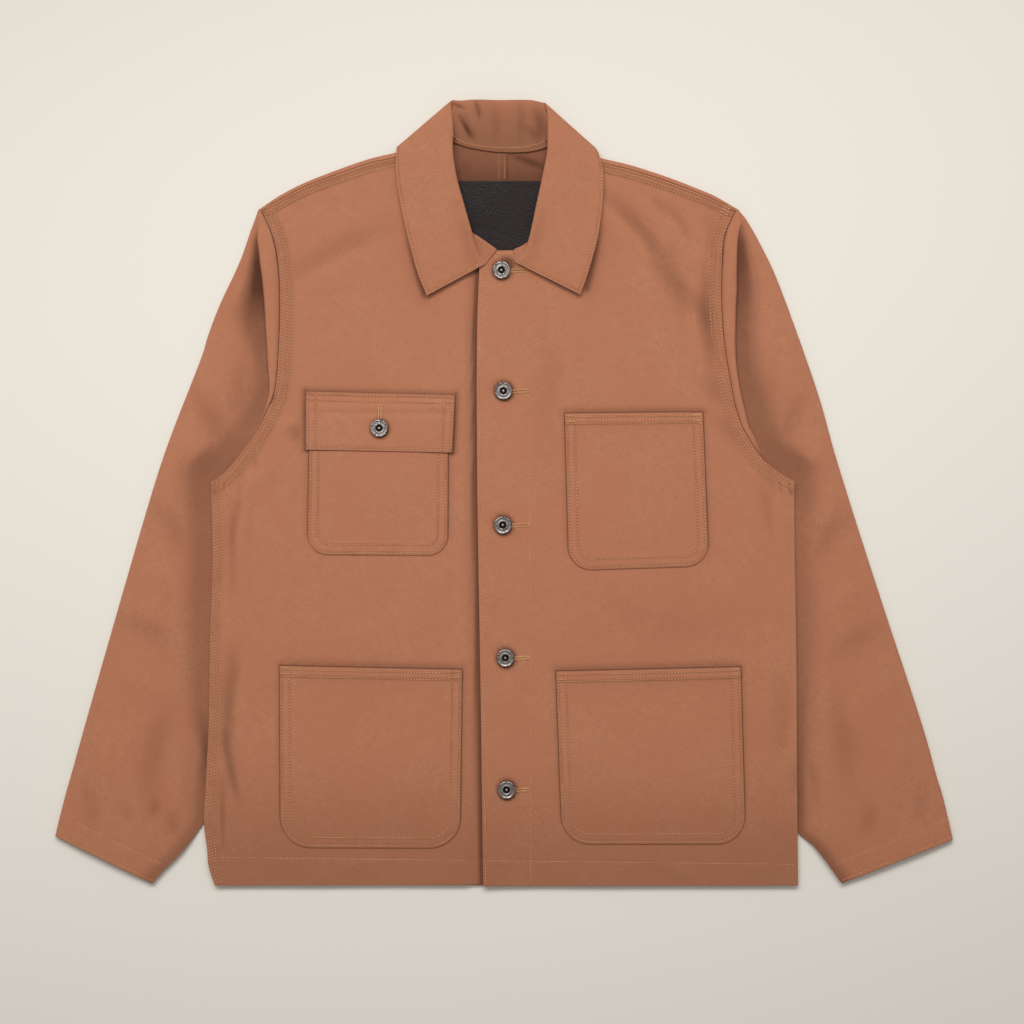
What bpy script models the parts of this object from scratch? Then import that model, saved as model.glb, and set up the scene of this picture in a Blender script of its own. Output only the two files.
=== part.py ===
"""Chore jacket laid flat on its back, buttoned, with its sleeves down its sides.

Blender 4.5.  The tables are in millimetres, the model is in metres, +Z up.
The origin is on the floor at the middle of the laid jacket: +X runs towards
the wearer's left sleeve and +Y towards the collar.  Each piece of cloth is an
open sheet on the outer face of the cloth, thickened inwards to its real wall.
"""

import math
from collections import namedtuple

import bmesh
import bpy
from mathutils import Vector

MM = 0.001

# Cloth and the heights of its layers, in millimetres above the floor.
CLOTH = 1.2
COLLAR_CLOTH = 1.5
LEATHER = 1.3
SEAM = 0.3
FRONT_TOP = 6.0
UNDER_FRONT_DROP = 1.5
SLEEVE_TOP = 6.0
SLEEVE_PRESSED = 2.7
BACK_OVER_SLEEVE = SLEEVE_PRESSED + 0.5
BACK_OVER_COLLAR = COLLAR_CLOTH + SEAM
PATCH_GAP = 0.6

# Widths over which a layer settles from one height to the next.
SLEEVE_PRESS_WIDTH = 14.0
SLEEVE_PRESS_MARGIN = 6.0
BACK_REACH = 24.0
BACK_RAMP = 20.0
COLLAR_LIFT_X = 160.0
COLLAR_LIFT_Y = 240.0
COLLAR_LIFT_RAMP = 50.0
PLACKET_EDGE = -27.5
PLACKET_RAMP = 12.5
FLAP_RAMP = 9.0

# Outline of the body.
CENTRE_BACK = 3.6
HEM = -378.0
ARMPIT_Y = 12.0
NECK_FRONT_Y = 235.0
UNDER_EDGE = 26.0

SideRow = namedtuple("SideRow", "y right_x left_x")
SIDE_SEAM = [
    SideRow(-377.5, -279.0, 283.7),
    SideRow(-358.0, -285.0, 283.5),
    SideRow(-341.0, -286.5, 283.3),
    SideRow(-315.0, -289.4, 283.0),
    SideRow(-275.0, -287.4, 282.8),
    SideRow(-215.0, -284.5, 282.5),
    SideRow(-140.0, -283.5, 282.0),
    SideRow(-60.0, -281.0, 280.5),
    SideRow(ARMPIT_Y, -282.5, 280.0),
]
ARMHOLE = [
    SideRow(ARMPIT_Y, -282.5, 280.0),
    SideRow(20.0, -270.5, 266.5),
    SideRow(35.0, -257.0, 249.0),
    SideRow(60.0, -239.0, 232.0),
    SideRow(80.0, -229.0, 224.5),
    SideRow(102.0, -220.5, 219.5),
    SideRow(145.0, -217.0, 212.4),
    SideRow(190.0, -216.0, 209.6),
    SideRow(225.0, -218.3, 210.6),
    SideRow(250.0, -223.8, 213.4),
    SideRow(275.5, -235.2, 224.3),
]

# Shoulder: the fold is the edge seen from above, the seam lies in front of it.
PointRow = namedtuple("PointRow", "x y")
SHOULDER_FOLD = {
    "right": [PointRow(-235.2, 275.5), PointRow(-217.6, 287.4), PointRow(-195.5, 299.1),
              PointRow(-166.0, 311.0), PointRow(-132.1, 322.8), PointRow(-102.5, 330.0),
              PointRow(-60.0, 342.5)],
    "left": [PointRow(224.3, 275.5), PointRow(206.0, 286.3), PointRow(194.0, 291.8),
             PointRow(160.1, 305.1), PointRow(123.2, 317.0), PointRow(90.0, 325.3),
             PointRow(53.0, 338.5)],
}
SHOULDER_SEAM = {
    "right": [PointRow(-233.8, 274.1), PointRow(-216.0, 284.3), PointRow(-193.9, 295.9),
              PointRow(-164.4, 307.3), PointRow(-130.8, 318.7), PointRow(-101.5, 325.5),
              PointRow(-60.7, 337.2)],
    "left": [PointRow(223.0, 274.1), PointRow(204.4, 283.0), PointRow(192.6, 288.5),
             PointRow(158.7, 301.3), PointRow(122.1, 312.8), PointRow(89.0, 320.9),
             PointRow(53.4, 333.4)],
}
SHOULDER_ROUND = 2.4
SHOULDER_START = 0.015
SHOULDER_BOW = 0.6

BACK_NECK = {
    "right": [PointRow(CENTRE_BACK, 328.6), PointRow(-10.0, 329.4), PointRow(-32.2, 333.1),
              PointRow(-50.1, 338.2), PointRow(-60.0, 342.5)],
    "left": [PointRow(CENTRE_BACK, 328.6), PointRow(23.1, 329.4), PointRow(41.4, 332.3),
             PointRow(53.0, 338.5)],
}
FRONT_EDGE = {
    "right": [PointRow(UNDER_EDGE, HEM + 1.5), PointRow(UNDER_EDGE, 0.0), PointRow(UNDER_EDGE, 233.0)],
    "left": [PointRow(-20.6, HEM), PointRow(-22.9, -198.6), PointRow(-26.3, 13.0),
             PointRow(-26.4, 156.0), PointRow(-23.3, NECK_FRONT_Y)],
}
NECK_FRONT = {
    "right": [PointRow(UNDER_EDGE, 233.0), PointRow(-7.1, NECK_FRONT_Y)],
    "left": [PointRow(-23.3, NECK_FRONT_Y), PointRow(9.6, NECK_FRONT_Y)],
}
NECKLINE = {
    "right": [PointRow(-7.1, NECK_FRONT_Y), PointRow(-23.1, 246.2), PointRow(-34.7, 253.0),
              PointRow(-46.3, 267.9), PointRow(-54.9, 287.2), PointRow(-60.7, 307.4),
              PointRow(-62.7, 324.8), PointRow(-60.7, 336.9)],
    "left": [PointRow(9.6, NECK_FRONT_Y), PointRow(17.4, 239.5), PointRow(25.1, 243.8),
             PointRow(32.8, 252.5), PointRow(42.4, 267.9), PointRow(49.2, 287.2),
             PointRow(54.0, 307.4), PointRow(55.4, 324.8), PointRow(53.4, 333.1)],
}

# Sleeves: the edge away from the body, and the edge that lies under the body.
SLEEVE_OUTER = {
    "right": [PointRow(-237.6, 273.0), PointRow(-240.6, 264.1), PointRow(-245.0, 252.5),
              PointRow(-248.8, 240.9), PointRow(-252.9, 229.4), PointRow(-257.7, 217.8),
              PointRow(-263.1, 206.2), PointRow(-268.7, 194.7), PointRow(-274.0, 183.1),
              PointRow(-280.2, 167.7), PointRow(-287.0, 148.4), PointRow(-293.0, 129.1),
              PointRow(-329.7, 32.7),
              PointRow(-364.4, -82.9), PointRow(-402.9, -217.9), PointRow(-415.4, -262.9),
              PointRow(-424.2, -293.9), PointRow(-433.1, -329.8)],
    "left": [PointRow(227.2, 272.6), PointRow(233.6, 265.0), PointRow(246.8, 241.9),
             PointRow(266.0, 200.4), PointRow(301.7, 100.6), PointRow(321.0, 32.7),
             PointRow(357.6, -82.9), PointRow(401.9, -217.9), PointRow(416.7, -269.9),
             PointRow(423.7, -293.1), PointRow(433.1, -333.0)],
}
SLEEVE_INNER = {
    "right": [PointRow(-282.8, 11.1), PointRow(-271.8, 5.0), PointRow(-252.0, -25.0),
              PointRow(-243.0, -83.0), PointRow(-244.0, -150.0), PointRow(-253.6, -218.0),
              PointRow(-268.9, -275.7), PointRow(-289.7, -317.0), PointRow(-310.7, -345.3),
              PointRow(-329.7, -364.4), PointRow(-339.1, -375.8)],
    "left": [PointRow(280.3, 11.1), PointRow(269.0, 5.0), PointRow(250.0, -25.1),
             PointRow(240.0, -83.0), PointRow(241.0, -150.0), PointRow(250.0, -218.0),
             PointRow(262.0, -285.4), PointRow(281.8, -324.2), PointRow(298.7, -339.9),
             PointRow(312.8, -357.5), PointRow(325.6, -375.6)],
}
# Tuck along the armhole: how far out its edge lies and how high it stands.
TuckRow = namedtuple("TuckRow", "y reach height")
TUCK = [
    TuckRow(11.0, 6.0, 0.0),
    TuckRow(35.0, 9.0, 0.6),
    TuckRow(80.0, 9.5, 2.2),
    TuckRow(145.0, 12.0, 3.2),
    TuckRow(190.0, 15.0, 3.4),
    TuckRow(225.0, 15.0, 3.0),
    TuckRow(250.0, 12.0, 0.8),
    TuckRow(276.0, 8.0, 0.0),
]
# Section of the tuck: distance and height as parts of its reach and height.
TuckPoint = namedtuple("TuckPoint", "out up")
TUCK_SECTION = [TuckPoint(0.0, 0.0), TuckPoint(0.5, 0.7), TuckPoint(0.95, 1.0),
                TuckPoint(1.15, -0.3), TuckPoint(1.7, -0.35), TuckPoint(2.6, 0.0)]

# Below the armhole: parts of the stretch hidden by the body, and distances past it.
EDGE_STOPS = ((0.0, 0.0), (0.5, 1.0), (1.0, 5.0), (1.0, 10.0), (1.0, 15.0), (1.0, 21.0))
SLEEVE_TOP_PARTS = (0.35, 0.7)
SLEEVE_FLOOR_PARTS = (1.0, 0.55, 0.0)
SLEEVE_ROUND = 3.0

# Long soft folds of the fronts and sleeves: a line, its half width and its height.
Fold = namedtuple("Fold", "x1 y1 x2 y2 width height")
FOLDS = [
    Fold(98.3, 287.2, 167.7, 209.1, 13.0, -1.8),
    Fold(112.0, 300.0, 186.0, 212.0, 12.0, 1.6),
    Fold(157.1, 280.4, 189.9, 209.1, 8.0, -1.2),
    Fold(-121.5, 254.4, -201.5, 206.2, 18.0, -1.6),
    Fold(-112.0, 276.0, -196.0, 228.0, 16.0, 1.2),
    Fold(-266.0, 14.0, -270.0, -60.0, 9.0, 1.6),
    Fold(-276.0, -236.0, -268.0, -300.0, 8.0, 1.4),
    Fold(252.0, 14.0, 252.0, -60.0, 9.0, 1.2),
    Fold(200.0, 62.0, 178.0, 100.0, 10.0, 1.0),
    Fold(-318.0, 120.0, -300.0, 20.0, 12.0, 1.4),
    Fold(318.0, 40.0, 296.0, 120.0, 12.0, 1.4),
    Fold(-384.0, -300.0, -352.0, -330.0, 10.0, -1.2),
]

# Collar: one row for each station from the right front end round to the left.
# seam is where it is sewn on, roll its folded edge and outer its free edge.
# turn says which way the cloth goes over at the roll: 1 up and over to the
# front, -1 down and under the back, with the change at the neck's sides.
Station = namedtuple("Station", "seam_x seam_y seam_z roll_x roll_y roll_z outer_x outer_y outer_z turn")
COLLAR = [
    Station(-7.1, 235.6, 7.3, -19.3, 220.7, 8.6, -74.2, 190.8, 11.6, 0.4),
    Station(-14.5, 240.9, 7.3, -25.8, 233.1, 9.4, -81.9, 209.1, 12.4, 0.5),
    Station(-24.1, 247.2, 7.3, -29.9, 245.3, 10.6, -88.2, 230.3, 12.6, 0.7),
    Station(-35.7, 254.0, 7.3, -33.3, 257.3, 12.0, -93.5, 251.5, 12.2, 0.9),
    Station(-47.3, 268.9, 7.3, -39.5, 279.5, 13.5, -98.8, 275.6, 11.2, 1.0),
    Station(-55.9, 288.2, 7.3, -45.8, 302.6, 14.5, -102.4, 296.8, 10.8, 1.0),
    Station(-61.7, 308.4, 7.3, -49.8, 328.6, 14.5, -104.1, 314.2, 10.4, 1.0),
    Station(-63.7, 325.8, 7.3, -49.6, 350.8, 13.5, -103.9, 321.0, 10.0, 1.0),
    Station(-62.0, 337.0, 7.2, -51.0, 369.0, 11.0, -103.3, 328.4, 8.6, 0.9),
    Station(-59.0, 342.5, 7.0, -51.5, 376.8, 9.2, -102.8, 334.0, 4.6, 0.2),
    Station(-55.0, 342.0, 6.6, -47.0, 377.8, 8.4, -99.0, 331.4, 0.75, -0.8),
    Station(-47.2, 338.8, 5.4, -40.5, 377.9, 7.8, -85.8, 317.1, 0.75, -1.0),
    Station(-32.2, 334.0, 4.9, -27.0, 378.9, 8.2, -56.9, 310.3, 0.75, -1.0),
    Station(-4.8, 330.0, 4.6, -4.8, 378.3, 8.4, -4.8, 305.5, 0.75, -1.0),
    Station(23.1, 330.2, 4.9, 22.0, 378.6, 8.2, 39.5, 309.4, 0.75, -1.0),
    Station(39.4, 334.0, 5.4, 33.1, 377.0, 7.8, 68.4, 316.1, 0.75, -1.0),
    Station(48.0, 338.0, 6.6, 37.5, 375.4, 8.4, 83.4, 329.8, 0.75, -0.8),
    Station(52.0, 338.5, 7.0, 40.5, 374.4, 9.2, 86.6, 334.0, 4.6, 0.2),
    Station(55.0, 333.5, 7.2, 42.2, 366.0, 11.0, 90.9, 327.2, 8.6, 0.9),
    Station(56.4, 325.8, 7.3, 42.6, 347.0, 13.5, 93.6, 318.6, 10.0, 1.0),
    Station(55.0, 308.4, 7.3, 42.2, 328.5, 14.5, 95.3, 309.0, 10.4, 1.0),
    Station(50.2, 288.2, 7.3, 37.6, 304.4, 14.5, 95.3, 291.8, 10.8, 1.0),
    Station(43.4, 268.9, 7.3, 32.8, 282.3, 13.5, 93.6, 270.7, 11.2, 1.0),
    Station(33.8, 253.5, 7.3, 28.0, 259.2, 12.0, 90.1, 246.7, 12.4, 0.9),
    Station(26.1, 244.8, 7.3, 24.1, 242.9, 10.6, 84.8, 226.5, 12.8, 0.7),
    Station(18.4, 239.5, 7.3, 19.5, 231.3, 9.4, 79.0, 207.3, 12.6, 0.5),
    Station(9.6, 235.6, 7.3, 11.6, 222.6, 8.6, 73.3, 191.8, 11.8, 0.4),
]
ROLL_FRONT = 11.0
ROLL_BACK = 28.0

# Patch pockets: the four corners and the round of the two lower ones.
Pocket = namedtuple("Pocket", "name top_left top_right bottom_left bottom_right round")
POCKETS = [
    Pocket("chest_pocket_right", (-188.0, 79.0), (-53.2, 79.0), (-190.0, -58.5), (-53.8, -59.6), 20.0),
    Pocket("chest_pocket_left", (57.8, 78.4), (192.1, 79.6), (62.0, -74.0), (198.0, -69.6), 23.0),
    Pocket("hand_pocket_right", (-216.9, -164.6), (-39.7, -168.4), (-216.0, -341.0), (-42.0, -341.6), 30.0),
    Pocket("hand_pocket_left", (49.4, -170.1), (228.7, -165.8), (55.4, -337.8), (233.4, -337.6), 28.0),
]
FLAP = {"top_left": (-191.5, 99.6), "top_right": (-46.7, 96.0),
        "bottom_left": (-191.5, 42.5), "bottom_right": (-49.5, 39.7)}
POCKET_MOUTH = 79.0

PATCH_X = (-50.0, 47.0)
PATCH_Y = (231.0, 301.7)

# Buttons: the turned cap, from its middle outwards and round to the shank.
ButtonPoint = namedtuple("ButtonPoint", "radius height")
BUTTON_CAP = [ButtonPoint(0.0, 2.5), ButtonPoint(1.5, 2.3), ButtonPoint(2.4, 1.5),
              ButtonPoint(5.2, 1.7), ButtonPoint(6.2, 2.9), ButtonPoint(7.7, 3.0),
              ButtonPoint(8.6, 2.0), ButtonPoint(8.5, 0.5), ButtonPoint(7.6, 0.0)]
SHANK_RADIUS = 2.2
SHANK_HOLE = 2.8
BUTTON_SIDES = 14
BUTTONS = [PointRow(-2.5, 215.6), PointRow(-0.6, 99.2), PointRow(-1.2, -30.1),
           PointRow(1.3, -158.1), PointRow(2.5, -285.2)]
FLAP_BUTTON = PointRow(-120.0, 63.1)


def smooth(value):
    """Ease from 0 to 1."""
    t = min(max(value, 0.0), 1.0)
    return t * t * (3.0 - 2.0 * t)


def mix(a, b, t):
    return a + (b - a) * t


def blend(rows, t):
    """Catmull-Rom curve through rows of numbers, with t from 0 at the first to 1 at the last."""
    last = len(rows) - 1
    place = min(max(t, 0.0), 1.0) * last
    index = min(int(place), last - 1)
    f = place - index
    p1 = rows[index]
    p2 = rows[index + 1]
    p0 = rows[index - 1] if index > 0 else [2 * a - b for a, b in zip(p1, p2)]
    p3 = rows[index + 2] if index < last - 1 else [2 * b - a for a, b in zip(p1, p2)]
    return [0.5 * (2 * b + (c - a) * f + (2 * a - 5 * b + 4 * c - d) * f ** 2
                   + (3 * b - a - 3 * c + d) * f ** 3) for a, b, c, d in zip(p0, p1, p2, p3)]


def path(points, steps=12):
    """Function of t that runs along a smooth curve through the points at even speed."""
    count = steps * (len(points) - 1)
    line = [Vector(blend(points, i / count)) for i in range(count + 1)]
    reach = [0.0]
    for a, b in zip(line, line[1:]):
        reach.append(reach[-1] + (b - a).length)

    def at(t):
        target = min(max(t, 0.0), 1.0) * reach[-1]
        for i in range(count):
            if target <= reach[i + 1]:
                step = reach[i + 1] - reach[i]
                return line[i].lerp(line[i + 1], (target - reach[i]) / step if step else 0.0)
        return line[-1].copy()
    return at


def straight(points):
    """Function of t along the straight runs between the points, an equal part of t for each."""
    line = [Vector(p) for p in points]

    def at(t):
        place = min(max(t, 0.0), 1.0) * (len(line) - 1)
        index = min(int(place), len(line) - 2)
        return line[index].lerp(line[index + 1], place - index)
    return at


def part_of(run, start, end):
    """The stretch of a run between two of its values."""
    return lambda t: run(mix(start, end, t))


def column(rows, side):
    return [PointRow(getattr(row, side + "_x"), row.y) for row in rows]


def read(rows, y, field):
    """Value of a field of a table at a height y, along straight lines."""
    ordered = sorted(rows, key=lambda row: row.y)
    if y <= ordered[0].y:
        return getattr(ordered[0], field)
    for low, high in zip(ordered, ordered[1:]):
        if y <= high.y:
            return mix(getattr(low, field), getattr(high, field), (y - low.y) / (high.y - low.y))
    return getattr(ordered[-1], field)


def line_distance(x, y, x1, y1, x2, y2):
    """Distance to a line between two points, and the place of the nearest point along it."""
    length = (x2 - x1) ** 2 + (y2 - y1) ** 2
    t = min(max(((x - x1) * (x2 - x1) + (y - y1) * (y2 - y1)) / length, 0.0), 1.0)
    return math.hypot(x - mix(x1, x2, t), y - mix(y1, y2, t)), t


def fold_height(x, y):
    """Height that the long soft folds add."""
    total = 0.0
    for fold in FOLDS:
        away, along = line_distance(x, y, fold.x1, fold.y1, fold.x2, fold.y2)
        fade = math.sin(math.pi * mix(0.12, 0.88, along))
        total += fold.height * math.exp(-(away / fold.width) ** 2) * fade
    return total


def body_edge(y, side):
    """Where the side seam or the armhole runs at this height."""
    rows = SIDE_SEAM if y < ARMPIT_Y else ARMHOLE
    return read(rows, y, side + "_x")


def hidden_sleeve_distance(x, y, side):
    """Distance in plan to the part of a sleeve that lies under the body."""
    inner = SLEEVE_INNER[side][:8]
    low_y = inner[-1].y
    if low_y <= y <= inner[0].y:
        edge = read(inner, y, "x")
        if abs(x) >= abs(edge):
            return 0.0
    return min(line_distance(x, y, a.x, a.y, b.x, b.y)[0] for a, b in zip(inner, inner[1:]))


def back_outer(x, y):
    """Height of the back's outer face, which lies on the floor, the sleeves or the collar."""
    side = "right" if x < CENTRE_BACK else "left"
    away = hidden_sleeve_distance(x, y, side)
    over_sleeve = BACK_OVER_SLEEVE * smooth((BACK_REACH + BACK_RAMP - away) / BACK_RAMP)
    over_collar = (BACK_OVER_COLLAR * smooth((y - COLLAR_LIFT_Y) / COLLAR_LIFT_RAMP)
                   * smooth((COLLAR_LIFT_X - abs(x)) / COLLAR_LIFT_RAMP))
    return max(over_sleeve, over_collar)


def front_outer(x, y, side):
    """Height of a front's outer face."""
    drop = 0.0
    if side == "right":
        drop = UNDER_FRONT_DROP * smooth((x - PLACKET_EDGE + PLACKET_RAMP) / PLACKET_RAMP)
    return FRONT_TOP - drop + fold_height(x, y)


def new_material(name, colour, roughness, metallic=0.0):
    material = bpy.data.materials.new(name)
    material.use_nodes = True
    shader = material.node_tree.nodes["Principled BSDF"]
    shader.inputs["Base Color"].default_value = (*colour, 1.0)
    shader.inputs["Roughness"].default_value = roughness
    shader.inputs["Metallic"].default_value = metallic
    return material


def link(obj, material, collection):
    obj.data.materials.append(material)
    collection.objects.link(obj)
    return obj


def sheet(name, columns, rows, place, facing, wall=CLOTH, offset=-1.0):
    """Sheet of cloth from a grid whose points are put in place by a function, with its wall.

    facing is 1 where the first column's outer face looks up, and -1 where it looks down.
    """
    mesh = bmesh.new()
    bmesh.ops.create_grid(mesh, x_segments=columns, y_segments=rows, size=0.5)
    first_column = Vector((-0.5, 0.0, 0.0))
    guide = min(mesh.faces, key=lambda face: (face.calc_center_median() - first_column).length)
    for vert in mesh.verts:
        col = round((vert.co.x + 0.5) * columns)
        row = round((vert.co.y + 0.5) * rows)
        vert.co = Vector(place(col, row)) * MM
    mesh.normal_update()
    if guide.normal.z * facing < 0.0:
        bmesh.ops.reverse_faces(mesh, faces=mesh.faces)
    data = bpy.data.meshes.new(name)
    mesh.to_mesh(data)
    mesh.free()
    obj = bpy.data.objects.new(name, data)
    solidify = obj.modifiers.new("Wall", "SOLIDIFY")
    solidify.thickness = wall * MM
    solidify.offset = offset
    return obj


def stage_rows(stages):
    """All rows of a panel: for each, its point on the side rail and on the middle rail."""
    rows = []
    for side_run, middle_run, count in stages:
        first = 0 if not rows else 1
        for i in range(first, count + 1):
            rows.append((side_run(i / count), middle_run(i / count)))
    return rows


def inset(a, b, gap):
    """The two ends of a row, each moved towards the other by a gap."""
    step = (b - a).normalized() * gap
    return a + step, b - step


def front_stops(a, b, side):
    """Places across a front's row, from its side to its edge, as parts of the row."""
    if side == "left":
        return [0.0, 0.05, 0.12, 0.22, 0.34, 0.46, 0.58, 0.7, 0.85, 1.0]
    under = min(PLACKET_EDGE - 1.0, b.x - 8.0)
    ramp = under - PLACKET_RAMP
    end = (ramp - a.x) / (b.x - a.x)
    parts = [end * part for part in (0.0, 0.07, 0.16, 0.28, 0.45, 0.62, 0.8, 1.0)]
    parts.append((under - a.x) / (b.x - a.x))
    return parts + [mix(parts[-1], 1.0, 0.5), 1.0]


def make_front(side):
    """Front panel: rows run from the side seam and armhole to the front edge and neckline."""
    seam = straight(column(SIDE_SEAM, side))
    armhole = straight(column(ARMHOLE, side))
    edge = path(FRONT_EDGE[side])
    neckline = path(NECKLINE[side])
    shoulder = path(SHOULDER_SEAM[side])
    top_rows = 3
    stages = [
        (seam, part_of(edge, 0.0, 0.64), 8),
        (part_of(armhole, 0.0, 0.5), part_of(edge, 0.64, 1.0), 5),
        (part_of(armhole, 0.5, 0.6), straight(NECK_FRONT[side]), 1),
        (part_of(armhole, 0.6, 0.7), part_of(neckline, 0.0, 0.12), 1),
        (part_of(armhole, 0.7, 1.0), part_of(neckline, 0.12, 1.0), top_rows),
    ]
    rows = [inset(a, b, SEAM) for a, b in stage_rows(stages)]
    last = len(rows) - 1
    below_seam = Vector((0.0, -SEAM - SHOULDER_BOW))
    columns = len(front_stops(*rows[0], side)) - 1

    def place(col, row):
        a, b = rows[row]
        part = front_stops(a, b, side)[col]
        point = a.lerp(b, part)
        bow = shoulder(part) + below_seam - rows[last][0].lerp(rows[last][1], part)
        point += bow * smooth((row - last + top_rows) / top_rows)
        return point.x, point.y, front_outer(point.x, point.y, side)
    return sheet("front_" + side, columns, last, place, 1.0)


def make_back(side):
    """Half of the back, with its turn over the shoulder to the seam on the front."""
    seam = straight(column(SIDE_SEAM, side))
    armhole = straight(column(ARMHOLE, side))
    middle = CENTRE_BACK + (SEAM / 2 if side == "left" else -SEAM / 2)
    centre = straight([(middle, HEM), (middle, BACK_NECK[side][0].y)])
    neck = path(BACK_NECK[side])
    stages = [
        (seam, part_of(centre, 0.0, 0.5), 8),
        (part_of(armhole, 0.0, 0.5), part_of(centre, 0.5, 0.8), 5),
        (part_of(armhole, 0.5, 0.7), part_of(centre, 0.8, 1.0), 6),
        (part_of(armhole, 0.7, 1.0), neck, 3),
    ]
    rows = stage_rows(stages)
    rows = [(a + (b - a).normalized() * SEAM, b) for a, b in rows]
    flat_rows = len(rows) - 1
    stops = (0.0, 0.07, 0.14, 0.21, 0.3, 0.45, 0.63, 0.82, 1.0)
    fold = path(SHOULDER_FOLD[side])
    front_seam = path(SHOULDER_SEAM[side])

    def place(col, row):
        t = stops[col]
        if row < flat_rows:
            a, b = rows[row]
            x, y = a.lerp(b, t)
            return x, y, back_outer(x, y)
        edge = fold(mix(SHOULDER_START, 1.0, t))
        seam_point = front_seam(mix(SHOULDER_START, 1.0, t))
        low = back_outer(edge.x, edge.y)
        inner = edge + Vector((0.0, -SHOULDER_ROUND))
        if row == flat_rows:
            return inner.x, inner.y, low
        if row == flat_rows + 1:
            return edge.x, edge.y, mix(low, FRONT_TOP, 0.5)
        if row == flat_rows + 2:
            top = edge.lerp(seam_point, 0.45)
            return top.x, top.y, FRONT_TOP - 0.2
        return seam_point.x, seam_point.y, FRONT_TOP
    return sheet("back_" + side, len(stops) - 1, flat_rows + 3, place, -1.0)


def tuck_profile(y):
    """Distances from the armhole and heights of the tuck at this height on the sleeve."""
    reach = read(TUCK, y, "reach")
    height = read(TUCK, y, "height")
    return [(point.out * reach, point.up * height) for point in TUCK_SECTION]


def sleeve_outer(x, y, side):
    """Height of the outer face of a sleeve's upper layer."""
    outside = abs(x) - abs(body_edge(y, side))
    press = smooth((SLEEVE_PRESS_WIDTH + SLEEVE_PRESS_MARGIN - outside) / SLEEVE_PRESS_WIDTH)
    press *= smooth((62.0 - y) / 46.0)
    return mix(SLEEVE_TOP, SLEEVE_PRESSED, press) + fold_height(x, y) * (1.0 - press)


def sleeve_stops(a, b, side):
    """Distances from a sleeve row's inner end, and the heights that the tuck adds there."""
    width = (b - a).length
    if a.y > ARMPIT_Y - 0.5:
        stops = tuck_profile(a.y)
    else:
        hidden = max(abs(body_edge(a.y, side)) - abs(a.x), 0.0)
        stops = [(hidden * part + out, 0.0) for part, out in EDGE_STOPS]
    scale = min(1.0, 0.5 * width / stops[-1][0])
    return [(out * scale, up * scale) for out, up in stops]


def make_sleeve(side):
    """Sleeve: each row goes out over the top, round the outer fold and back along the floor."""
    armhole = straight(list(reversed(column(ARMHOLE, side))))
    inner = path(SLEEVE_INNER[side])
    outer = path(SLEEVE_OUTER[side])
    stages = [
        (armhole, part_of(outer, 0.0, 0.38), 10),
        (inner, part_of(outer, 0.38, 1.0), 13),
    ]
    rows = stage_rows(stages)
    edge_columns = len(TUCK_SECTION)
    top_columns = edge_columns + len(SLEEVE_TOP_PARTS)
    columns = top_columns + 2 + len(SLEEVE_FLOOR_PARTS)

    def place(col, row):
        a, b = rows[row]
        out = (b - a).normalized()
        width = (b - a).length
        stops = sleeve_stops(a, b, side)
        fold_inset = min(SLEEVE_ROUND, 0.25 * width)
        low = a + out * SEAM
        tuck = 0.0
        if col < edge_columns:
            reach, tuck = stops[col]
        elif col < top_columns:
            reach = mix(stops[-1][0], width - fold_inset, SLEEVE_TOP_PARTS[col - edge_columns])
        elif col == top_columns:
            reach = width - fold_inset
        elif col == top_columns + 1:
            return b.x, b.y, 0.5 * sleeve_outer(b.x, b.y, side)
        else:
            point = low + out * (width - fold_inset) * SLEEVE_FLOOR_PARTS[col - top_columns - 2]
            return point.x, point.y, 0.0
        point = low + out * reach
        return point.x, point.y, sleeve_outer(point.x, point.y, side) + tuck
    return sheet("sleeve_" + side, columns - 1, len(rows) - 1, place, 1.0)


def collar_point(across, along):
    """Point of the collar: along goes round the neck, across from the seam over the roll."""
    station = Station(*blend(COLLAR, along))
    seam = Vector((station.seam_x, station.seam_y, station.seam_z))
    roll = Vector((station.roll_x, station.roll_y, station.roll_z))
    outer = Vector((station.outer_x, station.outer_y, station.outer_z))
    stand = roll - seam
    fall = outer - roll
    level = Vector((fall.x, fall.y, 0.0)).normalized()
    over = (Vector((0.0, 0.0, station.turn)) + level * (1.0 - abs(station.turn))).normalized()
    size = min(ROLL_BACK if station.turn < 0.0 else ROLL_FRONT, 0.6 * stand.length + 4.0)
    if across <= 1.0:
        start, end, leave, arrive, t = seam, roll, stand, over * size, across
    else:
        along_floor = Vector((fall.x, fall.y, min(0.0, fall.z) if station.turn > 0.0 else 0.0))
        start, end, leave, arrive, t = roll, outer, over * size, along_floor, across - 1.0
    point = (start * (2 * t ** 3 - 3 * t ** 2 + 1) + leave * (t ** 3 - 2 * t ** 2 + t)
             + end * (3 * t ** 2 - 2 * t ** 3) + arrive * (t ** 3 - t ** 2))
    point.z = max(point.z, COLLAR_CLOTH / 2)
    return point


def make_collar():
    """Collar: one band with its stand and fall."""
    fall_parts = (0.2, 0.45, 0.75, 1.0)
    stand_parts = (0.0, 0.45, 0.85, 1.0)
    parts = list(stand_parts) + [1.0 + part for part in fall_parts]
    rows = 40

    def place(col, row):
        return collar_point(parts[col], row / rows)
    return sheet("collar", len(parts) - 1, rows, place, 1.0, COLLAR_CLOTH, 0.0)


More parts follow.
